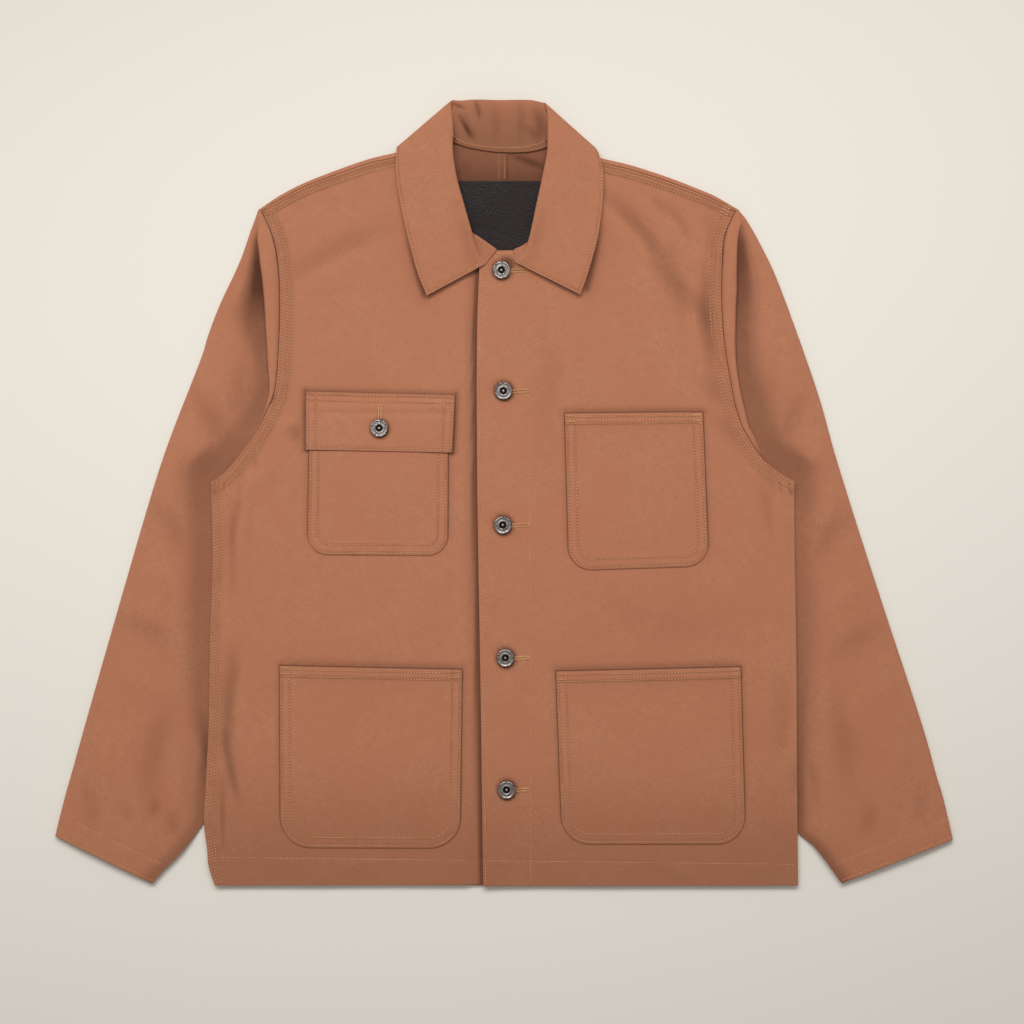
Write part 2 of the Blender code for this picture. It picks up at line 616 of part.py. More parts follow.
def pocket_point(pocket, t, row, straight_rows, round_rows):
    """Point of a patch pocket: the sides draw in round its lower corners."""
    left = Vector(pocket.top_left)
    right = Vector(pocket.top_right)
    low_left = Vector(pocket.bottom_left)
    low_right = Vector(pocket.bottom_right)
    depth = (left - low_left).length
    if row <= straight_rows:
        down = (depth - pocket.round) / depth * row / straight_rows
        draw_in = 0.0
    else:
        angle = math.radians(90.0) * (row - straight_rows) / round_rows
        down = 1.0 - pocket.round * (1.0 - math.sin(angle)) / depth
        draw_in = pocket.round * (1.0 - math.cos(angle))
    a, b = inset(left.lerp(low_left, down), right.lerp(low_right, down), draw_in)
    return a.lerp(b, t)


def make_pocket(pocket):
    """Patch pocket that lies on a front."""
    side = "right" if pocket.top_left[0] < 0.0 else "left"
    straight_rows = 5
    round_rows = 4
    columns = 8

    def place(col, row):
        x, y = pocket_point(pocket, col / columns, row, straight_rows, round_rows)
        return x, y, front_outer(x, y, side) + SEAM + CLOTH
    return sheet(pocket.name, columns, straight_rows + round_rows, place, 1.0)


def flap_outer(x, y):
    """Height of the flap's outer face: over the pocket's mouth, then down onto the front."""
    over_pocket = smooth((POCKET_MOUTH + 2.0 + FLAP_RAMP - y) / FLAP_RAMP)
    return front_outer(x, y, "right") + (SEAM + CLOTH) * (1.0 + over_pocket)


def make_flap():
    """Flap of the right chest pocket, sewn on above its mouth."""
    columns = 8
    left = straight([FLAP["top_left"], FLAP["bottom_left"]])
    right = straight([FLAP["top_right"], FLAP["bottom_right"]])
    parts = (0.0, 0.06, 0.16, 0.22, 0.36, 0.6, 0.82, 1.0)

    def place(col, row):
        x, y = left(parts[row]).lerp(right(parts[row]), col / columns)
        return x, y, flap_outer(x, y)
    return sheet("chest_flap", columns, len(parts) - 1, place, 1.0)


def make_patch():
    """Leather patch inside the back neck."""
    columns = 6
    rows = 8

    def place(col, row):
        x = mix(*PATCH_X, col / columns)
        y = mix(*PATCH_Y, row / rows)
        return x, y, back_outer(x, y) + CLOTH + PATCH_GAP + LEATHER
    return sheet("neck_patch", columns, rows, place, 1.0, LEATHER)


def make_button(name, at, cap_z, foot_z):
    """Turned button: a cap over the cloth and a shank that goes down through it."""
    profile = [(point.radius, cap_z + point.height) for point in BUTTON_CAP]
    profile += [(SHANK_RADIUS, cap_z), (SHANK_RADIUS, foot_z), (0.0, foot_z)]
    mesh = bmesh.new()
    verts = [mesh.verts.new((radius * MM, 0.0, height * MM)) for radius, height in profile]
    for a, b in zip(verts, verts[1:]):
        mesh.edges.new((a, b))
    data = bpy.data.meshes.new(name)
    mesh.to_mesh(data)
    mesh.free()
    obj = bpy.data.objects.new(name, data)
    obj.location = (at.x * MM, at.y * MM, 0.0)
    turn = obj.modifiers.new("Turn", "SCREW")
    turn.steps = BUTTON_SIDES
    turn.render_steps = BUTTON_SIDES
    turn.use_merge_vertices = True
    turn.merge_threshold = 0.00001
    return obj


def cut_shank_hole(panel, at, height, cutters):
    """Round end of a buttonhole, cut through a panel for the shank."""
    depth = 6.0
    bpy.ops.mesh.primitive_cylinder_add(vertices=BUTTON_SIDES, radius=SHANK_HOLE * MM, depth=depth * MM,
                                        location=(at.x * MM, at.y * MM, height * MM))
    cutter = bpy.context.object
    cutter.name = "shank_cutter"
    for collection in list(cutter.users_collection):
        collection.objects.unlink(cutter)
    cutters.objects.link(cutter)
    cutter.hide_render = True
    cutter.display_type = "WIRE"
    cut = panel.modifiers.new("Buttonhole", "BOOLEAN")
    cut.object = cutter
    cut.operation = "DIFFERENCE"
    cut.solver = "EXACT"


def build():
    for obj in list(bpy.data.objects):
        bpy.data.objects.remove(obj, do_unlink=True)
    parts = bpy.data.collections.new("chore_jacket")
    cutters = bpy.data.collections.new("cutters")
    bpy.context.scene.collection.children.link(parts)
    bpy.context.scene.collection.children.link(cutters)

    canvas = new_material("canvas", (0.42, 0.19, 0.11), 0.85)
    leather = new_material("leather", (0.03, 0.022, 0.02), 0.6)
    metal = new_material("button_metal", (0.35, 0.34, 0.33), 0.35, 1.0)

    for side in ("right", "left"):
        link(make_back(side), canvas, parts)
        link(make_sleeve(side), canvas, parts)
    link(make_front("right"), canvas, parts)
    front_left = link(make_front("left"), canvas, parts)
    link(make_collar(), canvas, parts)
    link(make_patch(), leather, parts)
    for pocket in POCKETS:
        link(make_pocket(pocket), canvas, parts)
    flap = link(make_flap(), canvas, parts)

    foot_z = FRONT_TOP - UNDER_FRONT_DROP + SEAM
    for number, at in enumerate(BUTTONS, start=1):
        link(make_button(f"button_{number}", at, FRONT_TOP + SEAM, foot_z), metal, parts)
        cut_shank_hole(front_left, at, FRONT_TOP, cutters)
    flap_top = flap_outer(FLAP_BUTTON.x, FLAP_BUTTON.y)
    link(make_button("flap_button", FLAP_BUTTON, flap_top + SEAM, flap_top - CLOTH), metal, parts)
    cut_shank_hole(flap, FLAP_BUTTON, flap_top, cutters)


build()
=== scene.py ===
"""Chore jacket in cotton duck, laid flat on its back and buttoned, with its sleeves down its sides.

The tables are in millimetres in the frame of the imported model: +X runs towards the wearer's
left sleeve, +Y towards the collar and +Z up from the floor.
"""
import functools
import math
from collections import namedtuple

import bmesh
import bpy
import numpy as np
from mathutils import Matrix, Vector
from mathutils.bvhtree import BVHTree


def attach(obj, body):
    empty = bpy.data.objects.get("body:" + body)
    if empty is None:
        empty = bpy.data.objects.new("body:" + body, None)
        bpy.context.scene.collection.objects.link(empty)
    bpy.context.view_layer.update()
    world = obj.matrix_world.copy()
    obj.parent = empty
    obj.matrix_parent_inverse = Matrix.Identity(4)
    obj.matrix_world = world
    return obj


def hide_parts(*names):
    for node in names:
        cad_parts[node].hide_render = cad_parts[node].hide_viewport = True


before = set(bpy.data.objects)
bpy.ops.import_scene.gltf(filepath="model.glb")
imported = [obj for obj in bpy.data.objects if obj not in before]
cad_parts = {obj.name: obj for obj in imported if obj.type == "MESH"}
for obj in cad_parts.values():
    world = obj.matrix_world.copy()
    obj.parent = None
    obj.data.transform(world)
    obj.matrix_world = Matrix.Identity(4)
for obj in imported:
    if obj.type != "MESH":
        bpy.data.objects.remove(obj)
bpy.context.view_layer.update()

MM = 0.001

# ---------------------------------------------------------------- cloth and layers
# Walls and gaps, how high each layer lies, and how far its ramps and rounds reach.
CLOTH = 1.2
COLLAR_CLOTH = 2
LEATHER = 1.3
SEAM = 0.3
EDGE_GAP = 0.12
FRONT_TOP = 6
UNDER_FRONT_DROP = 1.9
SLEEVE_TOP = 6
SLEEVE_PRESSED = 2.5
SLEEVE_PUFF = 3.4
BACK_OVER_SLEEVE = 3
BACK_OVER_COLLAR = 2.1
PATCH_GAP = 0.5
SLEEVE_PRESS_WIDTH = 24
BACK_REACH = 24
BACK_RAMP = 20
COLLAR_LIFT_X = 160
COLLAR_LIFT_Y = 240
COLLAR_LIFT_RAMP = 50
PLACKET_EDGE = -27.5
PLACKET_RAMP = 12.5
FACING_X = 25.1
FLAP_RAMP = 15
CENTRE_BACK = 3.6
HEM = -378
ARMPIT_Y = 12
NECK_FRONT_Y = 235
UNDER_EDGE = 26
SHOULDER_START = 0.004
SHOULDER_ROUND = 3
SLEEVE_ROUND = 3.2

SideRow = namedtuple("SideRow", "y right_x left_x")
SIDE_SEAM = [SideRow(*row) for row in (
    (-377.5, -279, 283.7), (-358, -285, 283.5), (-341, -286.5, 283.3), (-315, -289.4, 283),
    (-275, -287.4, 282.8), (-215, -284.5, 282.5), (-140, -283.5, 282), (-60, -281, 280.5),
    (ARMPIT_Y, -282.5, 280),
)]
ARMHOLE = [SideRow(*row) for row in (
    (ARMPIT_Y, -282.5, 280), (20, -270.5, 266.5), (35, -257, 249), (60, -239, 232), (80, -229, 224.5),
    (102, -220.5, 219.5), (145, -217, 212.4), (190, -216, 209.6), (225, -218.3, 210.6),
    (250, -223.8, 213.4), (275.5, -235.2, 224.3),
)]

# Lines of the cut, each a list of x and y.
SHOULDER_FOLD = {
    "right": [(-235.2, 275.5), (-217.6, 287.4), (-195.5, 299.1), (-166, 311), (-132.1, 322.8),
              (-102.5, 330), (-60, 342.5)],
    "left": [(224.3, 275.5), (206, 286.3), (194, 291.8), (160.1, 305.1), (123.2, 317),
             (90, 325.3), (53, 338.5)],
}
SHOULDER_SEAM = {
    "right": [(-233.8, 274.1), (-216, 284.3), (-193.9, 295.9), (-164.4, 307.3), (-130.8, 318.7),
              (-101.5, 325.5), (-60.7, 337.2)],
    "left": [(223, 274.1), (204.4, 283), (192.6, 288.5), (158.7, 301.3), (122.1, 312.8),
             (89, 320.9), (53.4, 333.4)],
}
BACK_NECK = {
    "right": [(CENTRE_BACK, 328.6), (-10, 329.4), (-32.2, 333.1), (-50.1, 338.2), (-60, 342.5)],
    "left": [(CENTRE_BACK, 328.6), (23.1, 329.4), (41.4, 332.3), (53, 338.5)],
}
FRONT_EDGE = {
    "right": [(UNDER_EDGE, HEM + 1.5), (UNDER_EDGE, 0), (UNDER_EDGE, 233)],
    "left": [(-20.6, HEM), (-22.9, -198.6), (-26.3, 13), (-26.4, 156), (-23.3, NECK_FRONT_Y)],
}
NECK_FRONT = {
    "right": [(UNDER_EDGE, 233), (-7.1, NECK_FRONT_Y)],
    "left": [(-23.3, NECK_FRONT_Y), (9.6, NECK_FRONT_Y)],
}
NECKLINE = {
    "right": [(-7.1, NECK_FRONT_Y), (-23.1, 246.2), (-34.7, 253), (-46.3, 267.9), (-54.9, 287.2),
              (-60.7, 307.4), (-62.7, 324.8), (-60.7, 336.9)],
    "left": [(9.6, NECK_FRONT_Y), (17.4, 239.5), (25.1, 243.8), (32.8, 252.5), (42.4, 267.9),
             (49.2, 287.2), (54, 307.4), (55.4, 324.8), (53.4, 333.1)],
}
SLEEVE_OUTER = {
    "right": [(-237.6, 273), (-240.6, 264.1), (-245, 252.5), (-248.8, 240.9), (-252.9, 229.4),
              (-257.7, 217.8), (-263.1, 206.2), (-268.7, 194.7), (-274, 183.1), (-280.2, 167.7),
              (-287, 148.4), (-293, 129.1), (-329.7, 32.7), (-364.4, -82.9), (-402.9, -217.9),
              (-415.4, -262.9), (-424.2, -293.9), (-433.1, -329.8)],
    "left": [(227.2, 272.6), (233.6, 265), (246.8, 241.9), (266, 200.4), (301.7, 100.6),
             (321, 32.7), (357.6, -82.9), (401.9, -217.9), (416.7, -269.9), (423.7, -293.1),
             (433.1, -333)],
}
SLEEVE_INNER = {
    "right": [(-282.8, 11.1), (-271.8, 5), (-252, -25), (-243, -83), (-244, -150),
              (-253.6, -218), (-268.9, -275.7), (-289.7, -317), (-310.7, -345.3),
              (-329.7, -364.4), (-339.1, -375.8)],
    "left": [(280.3, 11.1), (269, 5), (250, -25.1), (240, -83), (241, -150),
             (250, -218), (262, -285.4), (281.8, -324.2), (298.7, -339.9), (312.8, -357.5),
             (325.6, -375.6)],
}
SLEEVE_HEAD = 0.44  # part of the outer fold that lies above the armpit

# Tuck along the armhole: how far out its edge lies, how high it stands, and how dark it is past
# its edge, with the widths of the core of that shade and of its fading away.
TuckRow = namedtuple("TuckRow", "y reach height dark core tail")
TUCK = {
    "right": [TuckRow(*row) for row in (
        (-330, 0.6, 0, 0.4, 3, 9), (-295, 0.6, 0, 0.42, 3, 9), (-257, 0.6, 0, 0.72, 1.5, 7),
        (-215, 0.6, 0, 0.34, 8, 12), (-180, 0.6, 0, 0.33, 9, 13), (-102, 0.6, 0, 0.34, 9, 15),
        (-26, 0.6, 0, 0.36, 10, 16), (12, 0.6, 0, 0.42, 12, 16), (27, 0.6, 0, 0.42, 12, 12),
        (52, 0.8, 0.2, 0.36, 14, 13), (81, 2, 0.8, 0.46, 9, 12), (119, 10.4, 2.4, 0.46, 6, 14),
        (158, 14, 3.2, 0.56, 15, 15), (196, 16, 3.8, 0.95, 9, 8), (225, 17.2, 3.6, 0.95, 3.5, 6),
        (243, 16, 2.4, 0.66, 1.5, 4), (256, 13, 0.8, 0.14, 1, 3), (266, 10, 0.1, 0, 1, 3),
        (276, 6, 0, 0, 1, 3),
    )],
    "left": [TuckRow(*row) for row in (
        (-330, 0.6, 0, 0.5, 2, 8), (-295, 0.6, 0, 0.6, 2, 8), (-257, 0.6, 0, 0.5, 3, 9),
        (-180, 0.6, 0, 0.36, 4, 12), (-102, 0.6, 0, 0.3, 4, 16), (-26, 0.6, 0, 0.3, 3, 16),
        (12, 0.6, 0, 0.42, 8, 14), (27, 1, 0.1, 0.44, 12, 10), (52, 6, 1, 0.42, 15, 13),
        (81, 7.9, 1.8, 0.46, 14, 15), (119, 8.8, 2.4, 0.5, 8, 15), (158, 12.6, 3, 0.55, 9, 11),
        (196, 15, 3.6, 0.68, 8, 9), (225, 14, 3.6, 0.8, 7, 6), (243, 13.4, 2.6, 0.78, 4, 5),
        (256, 12, 1.2, 0.42, 1.6, 3), (266, 10, 0.1, 0, 1, 3), (276, 6, 0, 0, 1, 3),
    )],
}
# Section of the tuck: parts of its reach, then distances past its steep edge, and the height at each.
TUCK_PARTS = np.array([0, 0.08, 0.2, 0.4, 0.65, 0.86, 0.96, 1, 1, 1, 1, 1, 1, 1, 1, 1])
TUCK_PAST = np.array([0, 0, 0, 0, 0, 0, 0, 0.3, 0.8, 1.4, 2.4, 4.4, 7.5, 12, 18, 26])
TUCK_UP = np.array([0, 0.3, 0.7, 1, 1, 0.92, 0.75, 0.35, -0.25, -0.62, -0.78, -0.75, -0.58, -0.35, -0.15, 0])
# Below the armhole: parts of the stretch that the body hides, and distances past it.
EDGE_PARTS = np.array([0, 0.3, 0.6, 0.85, 1, 1, 1, 1, 1, 1, 1, 1, 1, 1, 1, 1])
EDGE_PAST = np.array([0, 0.4, 0.8, 1.2, 1.7, 2.4, 3.3, 4.6, 6.2, 8.2, 10.7, 13.7, 17.2, 21.2, 25.2, 30])

# Soft creases pressed into the cloth: two ends, a bend to one side, half width and height.
Fold = namedtuple("Fold", "x1 y1 x2 y2 bend width height")
FRONT_FOLDS = [Fold(*row) for row in (
    (200.5, 262, 205, 92, -7, 7.5, -1.7), (-261.2, -152, -267, -207, 1.5, 8, -1.7),
    (-266.5, -192, -268.9, -246, 1.5, 6.5, -1.8), (-269.8, -228, -254.5, -300, -1.5, 4.6, -2.6),
    (-271.8, -274, -271, -354, 0, 4.2, -2.3), (-244, -240, -236, -330, 2, 9, 0.9),
    (-249, -160, -251, -220, 1, 8, 0.7), (-205, 64, -197, 49, 1, 6, -1.6), (-213, 58, -200, 74, 1, 5, 1),
    (-216, 40, -262, -6, 3, 9, 0.9), (236, 66, 262, 0, 4, 6, -1.3), (194, 104, 238, 62, 4, 8, -1.1),
    (284, -252, 276, -292, 2, 5, -1.2), (186, 250, 192, 120, -5, 8, 0.9),
    (121, 232, 206, 162, 5, 10, -1.1), (-229, 106, -223, 82, 1, 4, -1.6),
    (-266, -2, -262, -98, 2, 4.5, -1), (98.3, 287.2, 160, 214, 5, 9, -2), (128, 290, 168, 262, 2, 6, -0.9),
    (146, 282, 164, 222, 2, 5, -1.3), (110, 300, 186, 214, 5, 11, 1.5), (84, 276, 150, 196, 6, 12, 1),
    (160, 276, 189.9, 212, 4, 6, -1.3), (186, 190, 200, 140, 2, 7, -0.6), (172, 276, 201, 206, 3, 7, 0.9),
    (150, 214, 196, 150, 4, 16, -0.8), (-116, 256, -206, 208, -4, 13, -1.3),
    (-112, 276, -196, 228, -4, 13, 1.1), (-130, 232, -196, 186, -4, 14, 0.8),
    (-252.6, 20.3, -265.2, -51.1, 2, 4.2, -1.3), (-247, 18, -253, -60, 2, 5, 1.1),
    (-243, 42, -239, 14, 1, 3.5, -0.9), (-272, 6, -275, -70, 1, 5, 0.8), (-214, 96, -232, 40, -4, 8, -0.7),
    (200, 76, 226, 40, 3, 7, -0.9), (208, 96, 236, 52, 3, 7, 0.8), (246, 12, 258, -44, 3, 7, -0.9),
    (262, 6, 270, -70, 2, 7, 0.9), (236, 0, 240, -80, 3, 9, 0.7), (268, -180, 262, -262, 3, 8, -0.7),
    (-60, 180, -44, 60, 3, 14, 0.5), (60, 170, 38, 40, -4, 14, -0.5), (40, 228, 70, 120, 6, 16, 0.6),
    (-60, -110, -160, -140, 6, 16, 0.5), (90, -110, 220, -130, -8, 18, -0.5),
    (120, -346, 190, -372, 2, 9, 0.6), (-120, -350, -190, -372, 2, 9, 0.6),
)]
SLEEVE_FOLDS = {
    "right": [Fold(*row) for row in (
        (-254.5, 150, -259, 70, 3, 9, -1.6), (-300, 96, -262, 30, 4, 10, -1.3),
        (-316, 64, -284, -6, 5, 11, 1.4), (-338, -12, -300, -70, 6, 12, -1.1),
        (-352, -70, -306, -110, 5, 11, 1.2), (-372, -126, -318, -150, 6, 12, -1),
        (-384, -170, -330, -196, 4, 12, 0.9), (-322, -206, -344, -300, -5, 12, -1.1),
        (-384, -240, -366, -318, 5, 11, 1), (-367, -302, -361, -318, 1, 6, -1.3),
        (-333, -295, -341, -312, 1, 6, -1.2), (-322, -307, -318, -330, 1, 6, -1.2),
        (-402, -280, -398, -322, 1, 8, -0.8), (-264, 180, -256, 96, 3, 7, 0.9),
    )],
    "left": [Fold(*row) for row in (
        (286, -246, 300, -300, 4, 6, -1.2), (292, 96, 262, 28, -4, 10, -1.2),
        (312, 56, 280, -14, -5, 11, 1.4), (334, -20, 296, -74, -6, 12, -1.2),
        (350, -84, 308, -120, -5, 11, 1.1), (366, -130, 318, -164, -6, 12, -0.9),
        (380, -180, 336, -216, -4, 12, 0.9), (318, -196, 330, -282, 4, 12, -1),
        (388, -236, 372, -302, -4, 11, 0.9), (352, -300, 348, -330, 2, 7, -0.9),
        (404, -284, 398, -312, 1, 7, -0.8), (258, 180, 250, 96, -3, 7, 0.9),
    )],
}
BACK_FOLDS = [Fold(*row) for row in (
    (-150, 250, -60, 120, 8, 18, 0.7), (150, 240, 80, 110, -8, 18, 0.7),
    (-200, 60, -120, -60, 10, 20, 0.6), (190, 40, 110, -90, -10, 20, 0.6),
    (6, 327, 40, 315, 0.5, 3.6, -1.8), (-30, 322, -44, 312, 0.5, 4, -0.5),
)]

# Collar: one row for each station from the right front end round to the left.
Station = namedtuple("Station", "seam_x seam_y seam_z roll_x roll_y roll_z outer_x outer_y outer_z turn")
COLLAR = [Station(*row) for row in (
    (-7.1, 235.6, 7.3, -19.3, 220.7, 8.6, -74.2, 190.8, 11, 0.4),
    (-14.5, 240.9, 7.3, -25.8, 233.1, 9.4, -81.9, 209.1, 12, 0.5),
    (-24.1, 247.2, 7.3, -29.9, 245.3, 10.6, -88.2, 230.3, 12.2, 0.7),
    (-35.7, 254, 7.3, -33.3, 257.3, 12, -93.5, 251.5, 12.4, 0.9),
    (-47.3, 268.9, 7.3, -39.5, 279.5, 13.5, -98.8, 275.6, 11.2, 1),
    (-55.9, 288.2, 7.3, -45.8, 302.6, 14.5, -102.4, 296.8, 10.8, 1),
    (-61.7, 308.4, 7.3, -49.8, 328.6, 14.5, -104.1, 314.2, 10.4, 1),
    (-63.7, 325.8, 7.3, -49.6, 350.8, 13.5, -103.9, 321, 10, 1),
    (-62, 337, 7.2, -51, 369, 11, -103.3, 328.4, 8.6, 0.9),
    (-59, 342.5, 6.8, -51.5, 376.8, 9.2, -102.8, 334, 4.6, 0.2),
    (-55, 342, 6, -47, 377.8, 8.4, -99, 331.4, 1, -0.8),
    (-47.2, 338.8, 5, -40.5, 377.9, 7.8, -85.8, 317.1, 1, -1),
    (-32.2, 334, 4.5, -27, 378.9, 8.2, -56.9, 310.3, 1, -1),
    (-4.8, 330, 4.3, -4.8, 378.3, 8.4, -4.8, 305.5, 1, -1),
    (23.1, 330.2, 4.5, 22, 378.6, 8.2, 39.5, 309.4, 1, -1),
    (39.4, 334, 5, 33.1, 377, 7.8, 68.4, 316.1, 1, -1),
    (48, 338, 6, 37.5, 375.4, 8.4, 83.4, 329.8, 1, -0.8),
    (52, 338.5, 6.8, 40.5, 374.4, 9.2, 86.6, 334, 4.6, 0.2),
    (55, 333.5, 7.2, 42.2, 366, 11, 90.9, 327.2, 8.6, 0.9),
    (56.4, 325.8, 7.3, 42.6, 347, 13.5, 93.6, 318.6, 10, 1),
    (55, 308.4, 7.3, 42.2, 328.5, 14.5, 95.3, 309, 10.4, 1),
    (50.2, 288.2, 7.3, 37.6, 304.4, 14.5, 95.3, 291.8, 10.8, 1),
    (43.4, 268.9, 7.3, 32.8, 282.3, 13.5, 93.6, 270.7, 11.2, 1),
    (33.8, 253.5, 7.3, 28, 259.2, 12, 90.1, 246.7, 12.6, 0.9),
    (26.1, 244.8, 7.3, 24.1, 242.9, 10.6, 84.8, 226.5, 12.4, 0.7),
    (18.4, 239.5, 7.3, 19.5, 231.3, 9.4, 79, 207.3, 12.2, 0.5),
    (9.6, 235.6, 7.3, 11.6, 222.6, 8.6, 73.3, 191.8, 11.2, 0.4),
)]
ROLL_FRONT = 11
ROLL_BACK = 28
COLLAR_FOLDS = [Fold(*row) for row in (
    (-42.6, 363, -32, 343, 0.6, 2.3, -2.6), (-35.5, 352, -26.5, 340, 0.6, 2.6, -1.2),
    (-28, 380, -23.5, 360, 0.8, 2.1, -2.2), (-51, 375.5, -37, 369.5, 0.5, 1.9, -2),
    (-37, 372, -27.5, 346, 1, 3.4, 1.4), (31, 370, 36, 342, 1.5, 5.5, -1.5),
    (20, 352, 34, 340, 1, 4, -0.9), (4.5, 376, 4.5, 334, 0.5, 5, 1.1), (-9, 374, -8, 340, 0.5, 5, -0.6),
    (16, 376, 15, 338, 0.5, 4.5, -0.8), (-56, 350.5, -49, 341, 0.5, 2.2, -1.6),
    (-36, 252, -24, 226, 3, 5, -0.9), (-50, 262, -34, 230, 3, 6, 0.6), (34, 250, 28, 228, -3, 5, -0.7),
)]

# Patch pockets: the four corners and the round of the two lower ones.
Pocket = namedtuple("Pocket", "name top_left top_right bottom_left bottom_right round")
POCKETS = [Pocket(*row) for row in (
    ("chest_pocket_right", (-188, 79), (-53.2, 79), (-190, -58.5), (-53.8, -59.6), 20),
    ("chest_pocket_left", (57.8, 78.4), (192.1, 79.6), (62, -74), (198, -69.6), 23),
    ("hand_pocket_right", (-216.9, -164.6), (-39.7, -168.4), (-216, -341), (-42, -341.6), 30),
    ("hand_pocket_left", (49.4, -170.1), (228.7, -165.8), (55.4, -337.8), (233.4, -337.6), 28),
)]
FLAP_TOP = ((-191.5, 99.6), (-46.7, 96))
FLAP_BOTTOM = ((-191.5, 42.5), (-49.5, 39.7))
# The flap's edges on the front: two ends and how much painted shade lies along them.
FLAP_EDGES = [(*FLAP_TOP, 0.4), (FLAP_TOP[0], FLAP_BOTTOM[0], 0.6), (FLAP_TOP[1], FLAP_BOTTOM[1], 0.62)]
POCKET_MOUTH = 79
PATCH_X = (-50, 47)
PATCH_Y = (231, 301.7)
PATCH_CORNER = 3

BUTTONS = [(-2.5, 215.6), (-0.6, 99.2), (-1.2, -30.1), (1.3, -158.1), (2.5, -285.2)]
FLAP_BUTTON = (-120, 63.1)
BUTTONHOLE_END = 26
# Where the collar's free edges lie on the fronts.
COLLAR_EDGE = {
    "right": [(-97, 268), (-92, 244), (-83.5, 214), (-77, 192)],
    "left": [(96.5, 276), (92, 250), (87, 226), (80, 198)],
}


# ---------------------------------------------------------------- small sums
def smooth(value):
    """Ease from 0 to 1."""
    t = np.clip(value, 0, 1)
    return t * t * (3 - 2 * t)


def mix(a, b, t):
    return a + (b - a) * t


def bell(distance, width):
    """One at the line, easing away to nothing at about twice the width."""
    return np.exp(-(distance / width) ** 2)


def ledge(distance, start, run):
    """One up to a start, easing away to nothing over a run."""
    return 1 - smooth((distance - start) / run)


def most(*shades):
    """The greatest of several, place by place."""
    return functools.reduce(np.maximum, shades)


def wander(along, seed):
    """Slow uneven swing between about -1 and 1 along a line in millimetres."""
    return (np.sin(along / 7.3 + seed) + 0.7 * np.sin(along / 3.9 + 2.1 * seed)
            + 0.6 * np.sin(along / 17.7 + 0.7 * seed)) / 2.3


def swell(x, y, seed):
    """Broad soft unevenness of cloth that has been laid down by hand."""
    return (np.sin(x / 31 + seed) * np.sin(y / 43 + 1.7 * seed)
            + 0.6 * np.sin(x / 19 - y / 27 + seed) + 0.5 * np.sin(y / 16 + x / 61 + 3 * seed)) / 2.1


def curve(a, b, c, d, f):
    """Place at part f of the smooth curve from b to c, with its neighbours a and d."""
    return 0.5 * (2 * b + (c - a) * f + (2 * a - 5 * b + 4 * c - d) * f ** 2
                  + (3 * b - a - 3 * c + d) * f ** 3)


def through(points, steps=16):
    """Points close together on a smooth curve through the given ones."""
    p = np.array(points, float)
    p = np.vstack([2 * p[0] - p[1], p, 2 * p[-1] - p[-2]])
    f = np.linspace(0, 1, steps, endpoint=False)[:, None]
    return np.vstack([curve(a, b, c, d, f) for a, b, c, d in zip(p, p[1:], p[2:], p[3:])] + [p[-2:-1]])


def lengths(line):
    return np.concatenate([[0], np.cumsum(np.linalg.norm(np.diff(line, axis=0), axis=1))])


def along_line(line, place, t):
    return np.stack([np.interp(t, place, line[:, k]) for k in range(line.shape[1])], axis=-1)


def by_length(line):
    """Function of t from 0 to 1 that runs along a line at even speed."""
    reach = lengths(line)
    return lambda t: along_line(line, reach, np.clip(t, 0, 1) * reach[-1])


def by_point(line):
    """Function of t from 0 to 1 that gives each stretch of a line an equal part."""
    return lambda t: along_line(line, np.linspace(0, 1, len(line)), t)


def by_height(y, rows, key):
    """A column of a table of rows, read off at heights."""
    return np.interp(y, [row.y for row in rows], [getattr(row, key) for row in rows])


def near(x, y, line):
    """Distance in plan from points to a line, and how far along the line the nearest place is."""
    line = np.asarray(line, float)
    best, along = np.full(np.shape(x), 1e9), np.zeros(np.shape(x))
    for start, a, b in zip(lengths(line), line, line[1:]):
        step = b - a
        size = float(step @ step) or 1
        t = np.clip(((x - a[0]) * step[0] + (y - a[1]) * step[1]) / size, 0, 1)
        away = np.hypot(x - a[0] - t * step[0], y - a[1] - t * step[1])
        along = np.where(away < best, start + t * math.sqrt(size), along)
        best = np.minimum(away, best)
    return best, along


def leftward(line):
    """Unit steps to the left of a line in plan."""
    run = np.gradient(line, axis=0)
    run /= np.linalg.norm(run, axis=1)[:, None]
    return np.stack([-run[:, 1], run[:, 0]], axis=-1)


def beside(line, gap):
    """A line in plan moved to its left by a gap."""
    line = np.asarray(line, float)
    return line + gap * leftward(line)


def creases(x, y, folds):
    """Height of the soft creases, each fading out at its ends."""
    total = np.zeros(np.shape(x))
    for fold in folds:
        a, b = np.array([(fold.x1, fold.y1), (fold.x2, fold.y2)], float)
        run = b - a
        side = np.array((-run[1], run[0])) / np.linalg.norm(run)
        t = np.linspace(0, 1, 9)[:, None]
        line = a + run * t + side * fold.bend * 4 * t * (1 - t)
        away, along = near(x, y, line)
        fade = np.sin(math.pi * mix(0.1, 0.9, along / lengths(line)[-1]))
        total += fold.height * bell(away, fold.width) * fade
    return total


def within(fold, room):
    """The same creases, their troughs kept above what lies beneath the cloth."""
    return np.where(fold < 0, -room * np.tanh(-fold / room), fold)


def painted_crease_shade(x, y, folds):
    """Painted shade in the creases, from 0 to 1: more the deeper a place lies in a crease."""
    return np.clip(-0.17 * creases(x, y, folds), 0, 0.6)


def row_shade(away, rows, dark=0.42):
    """Painted shade in the needle holes and grooves along rows of stitches."""
    return dark * most(*[bell(away - row, 0.75) for row in rows])


def round_shade(x, y, centre, radius, dark, width):
    """Shade under and round a disc."""
    return dark * bell(np.maximum(np.hypot(x - centre[0], y - centre[1]) - radius, 0), width)


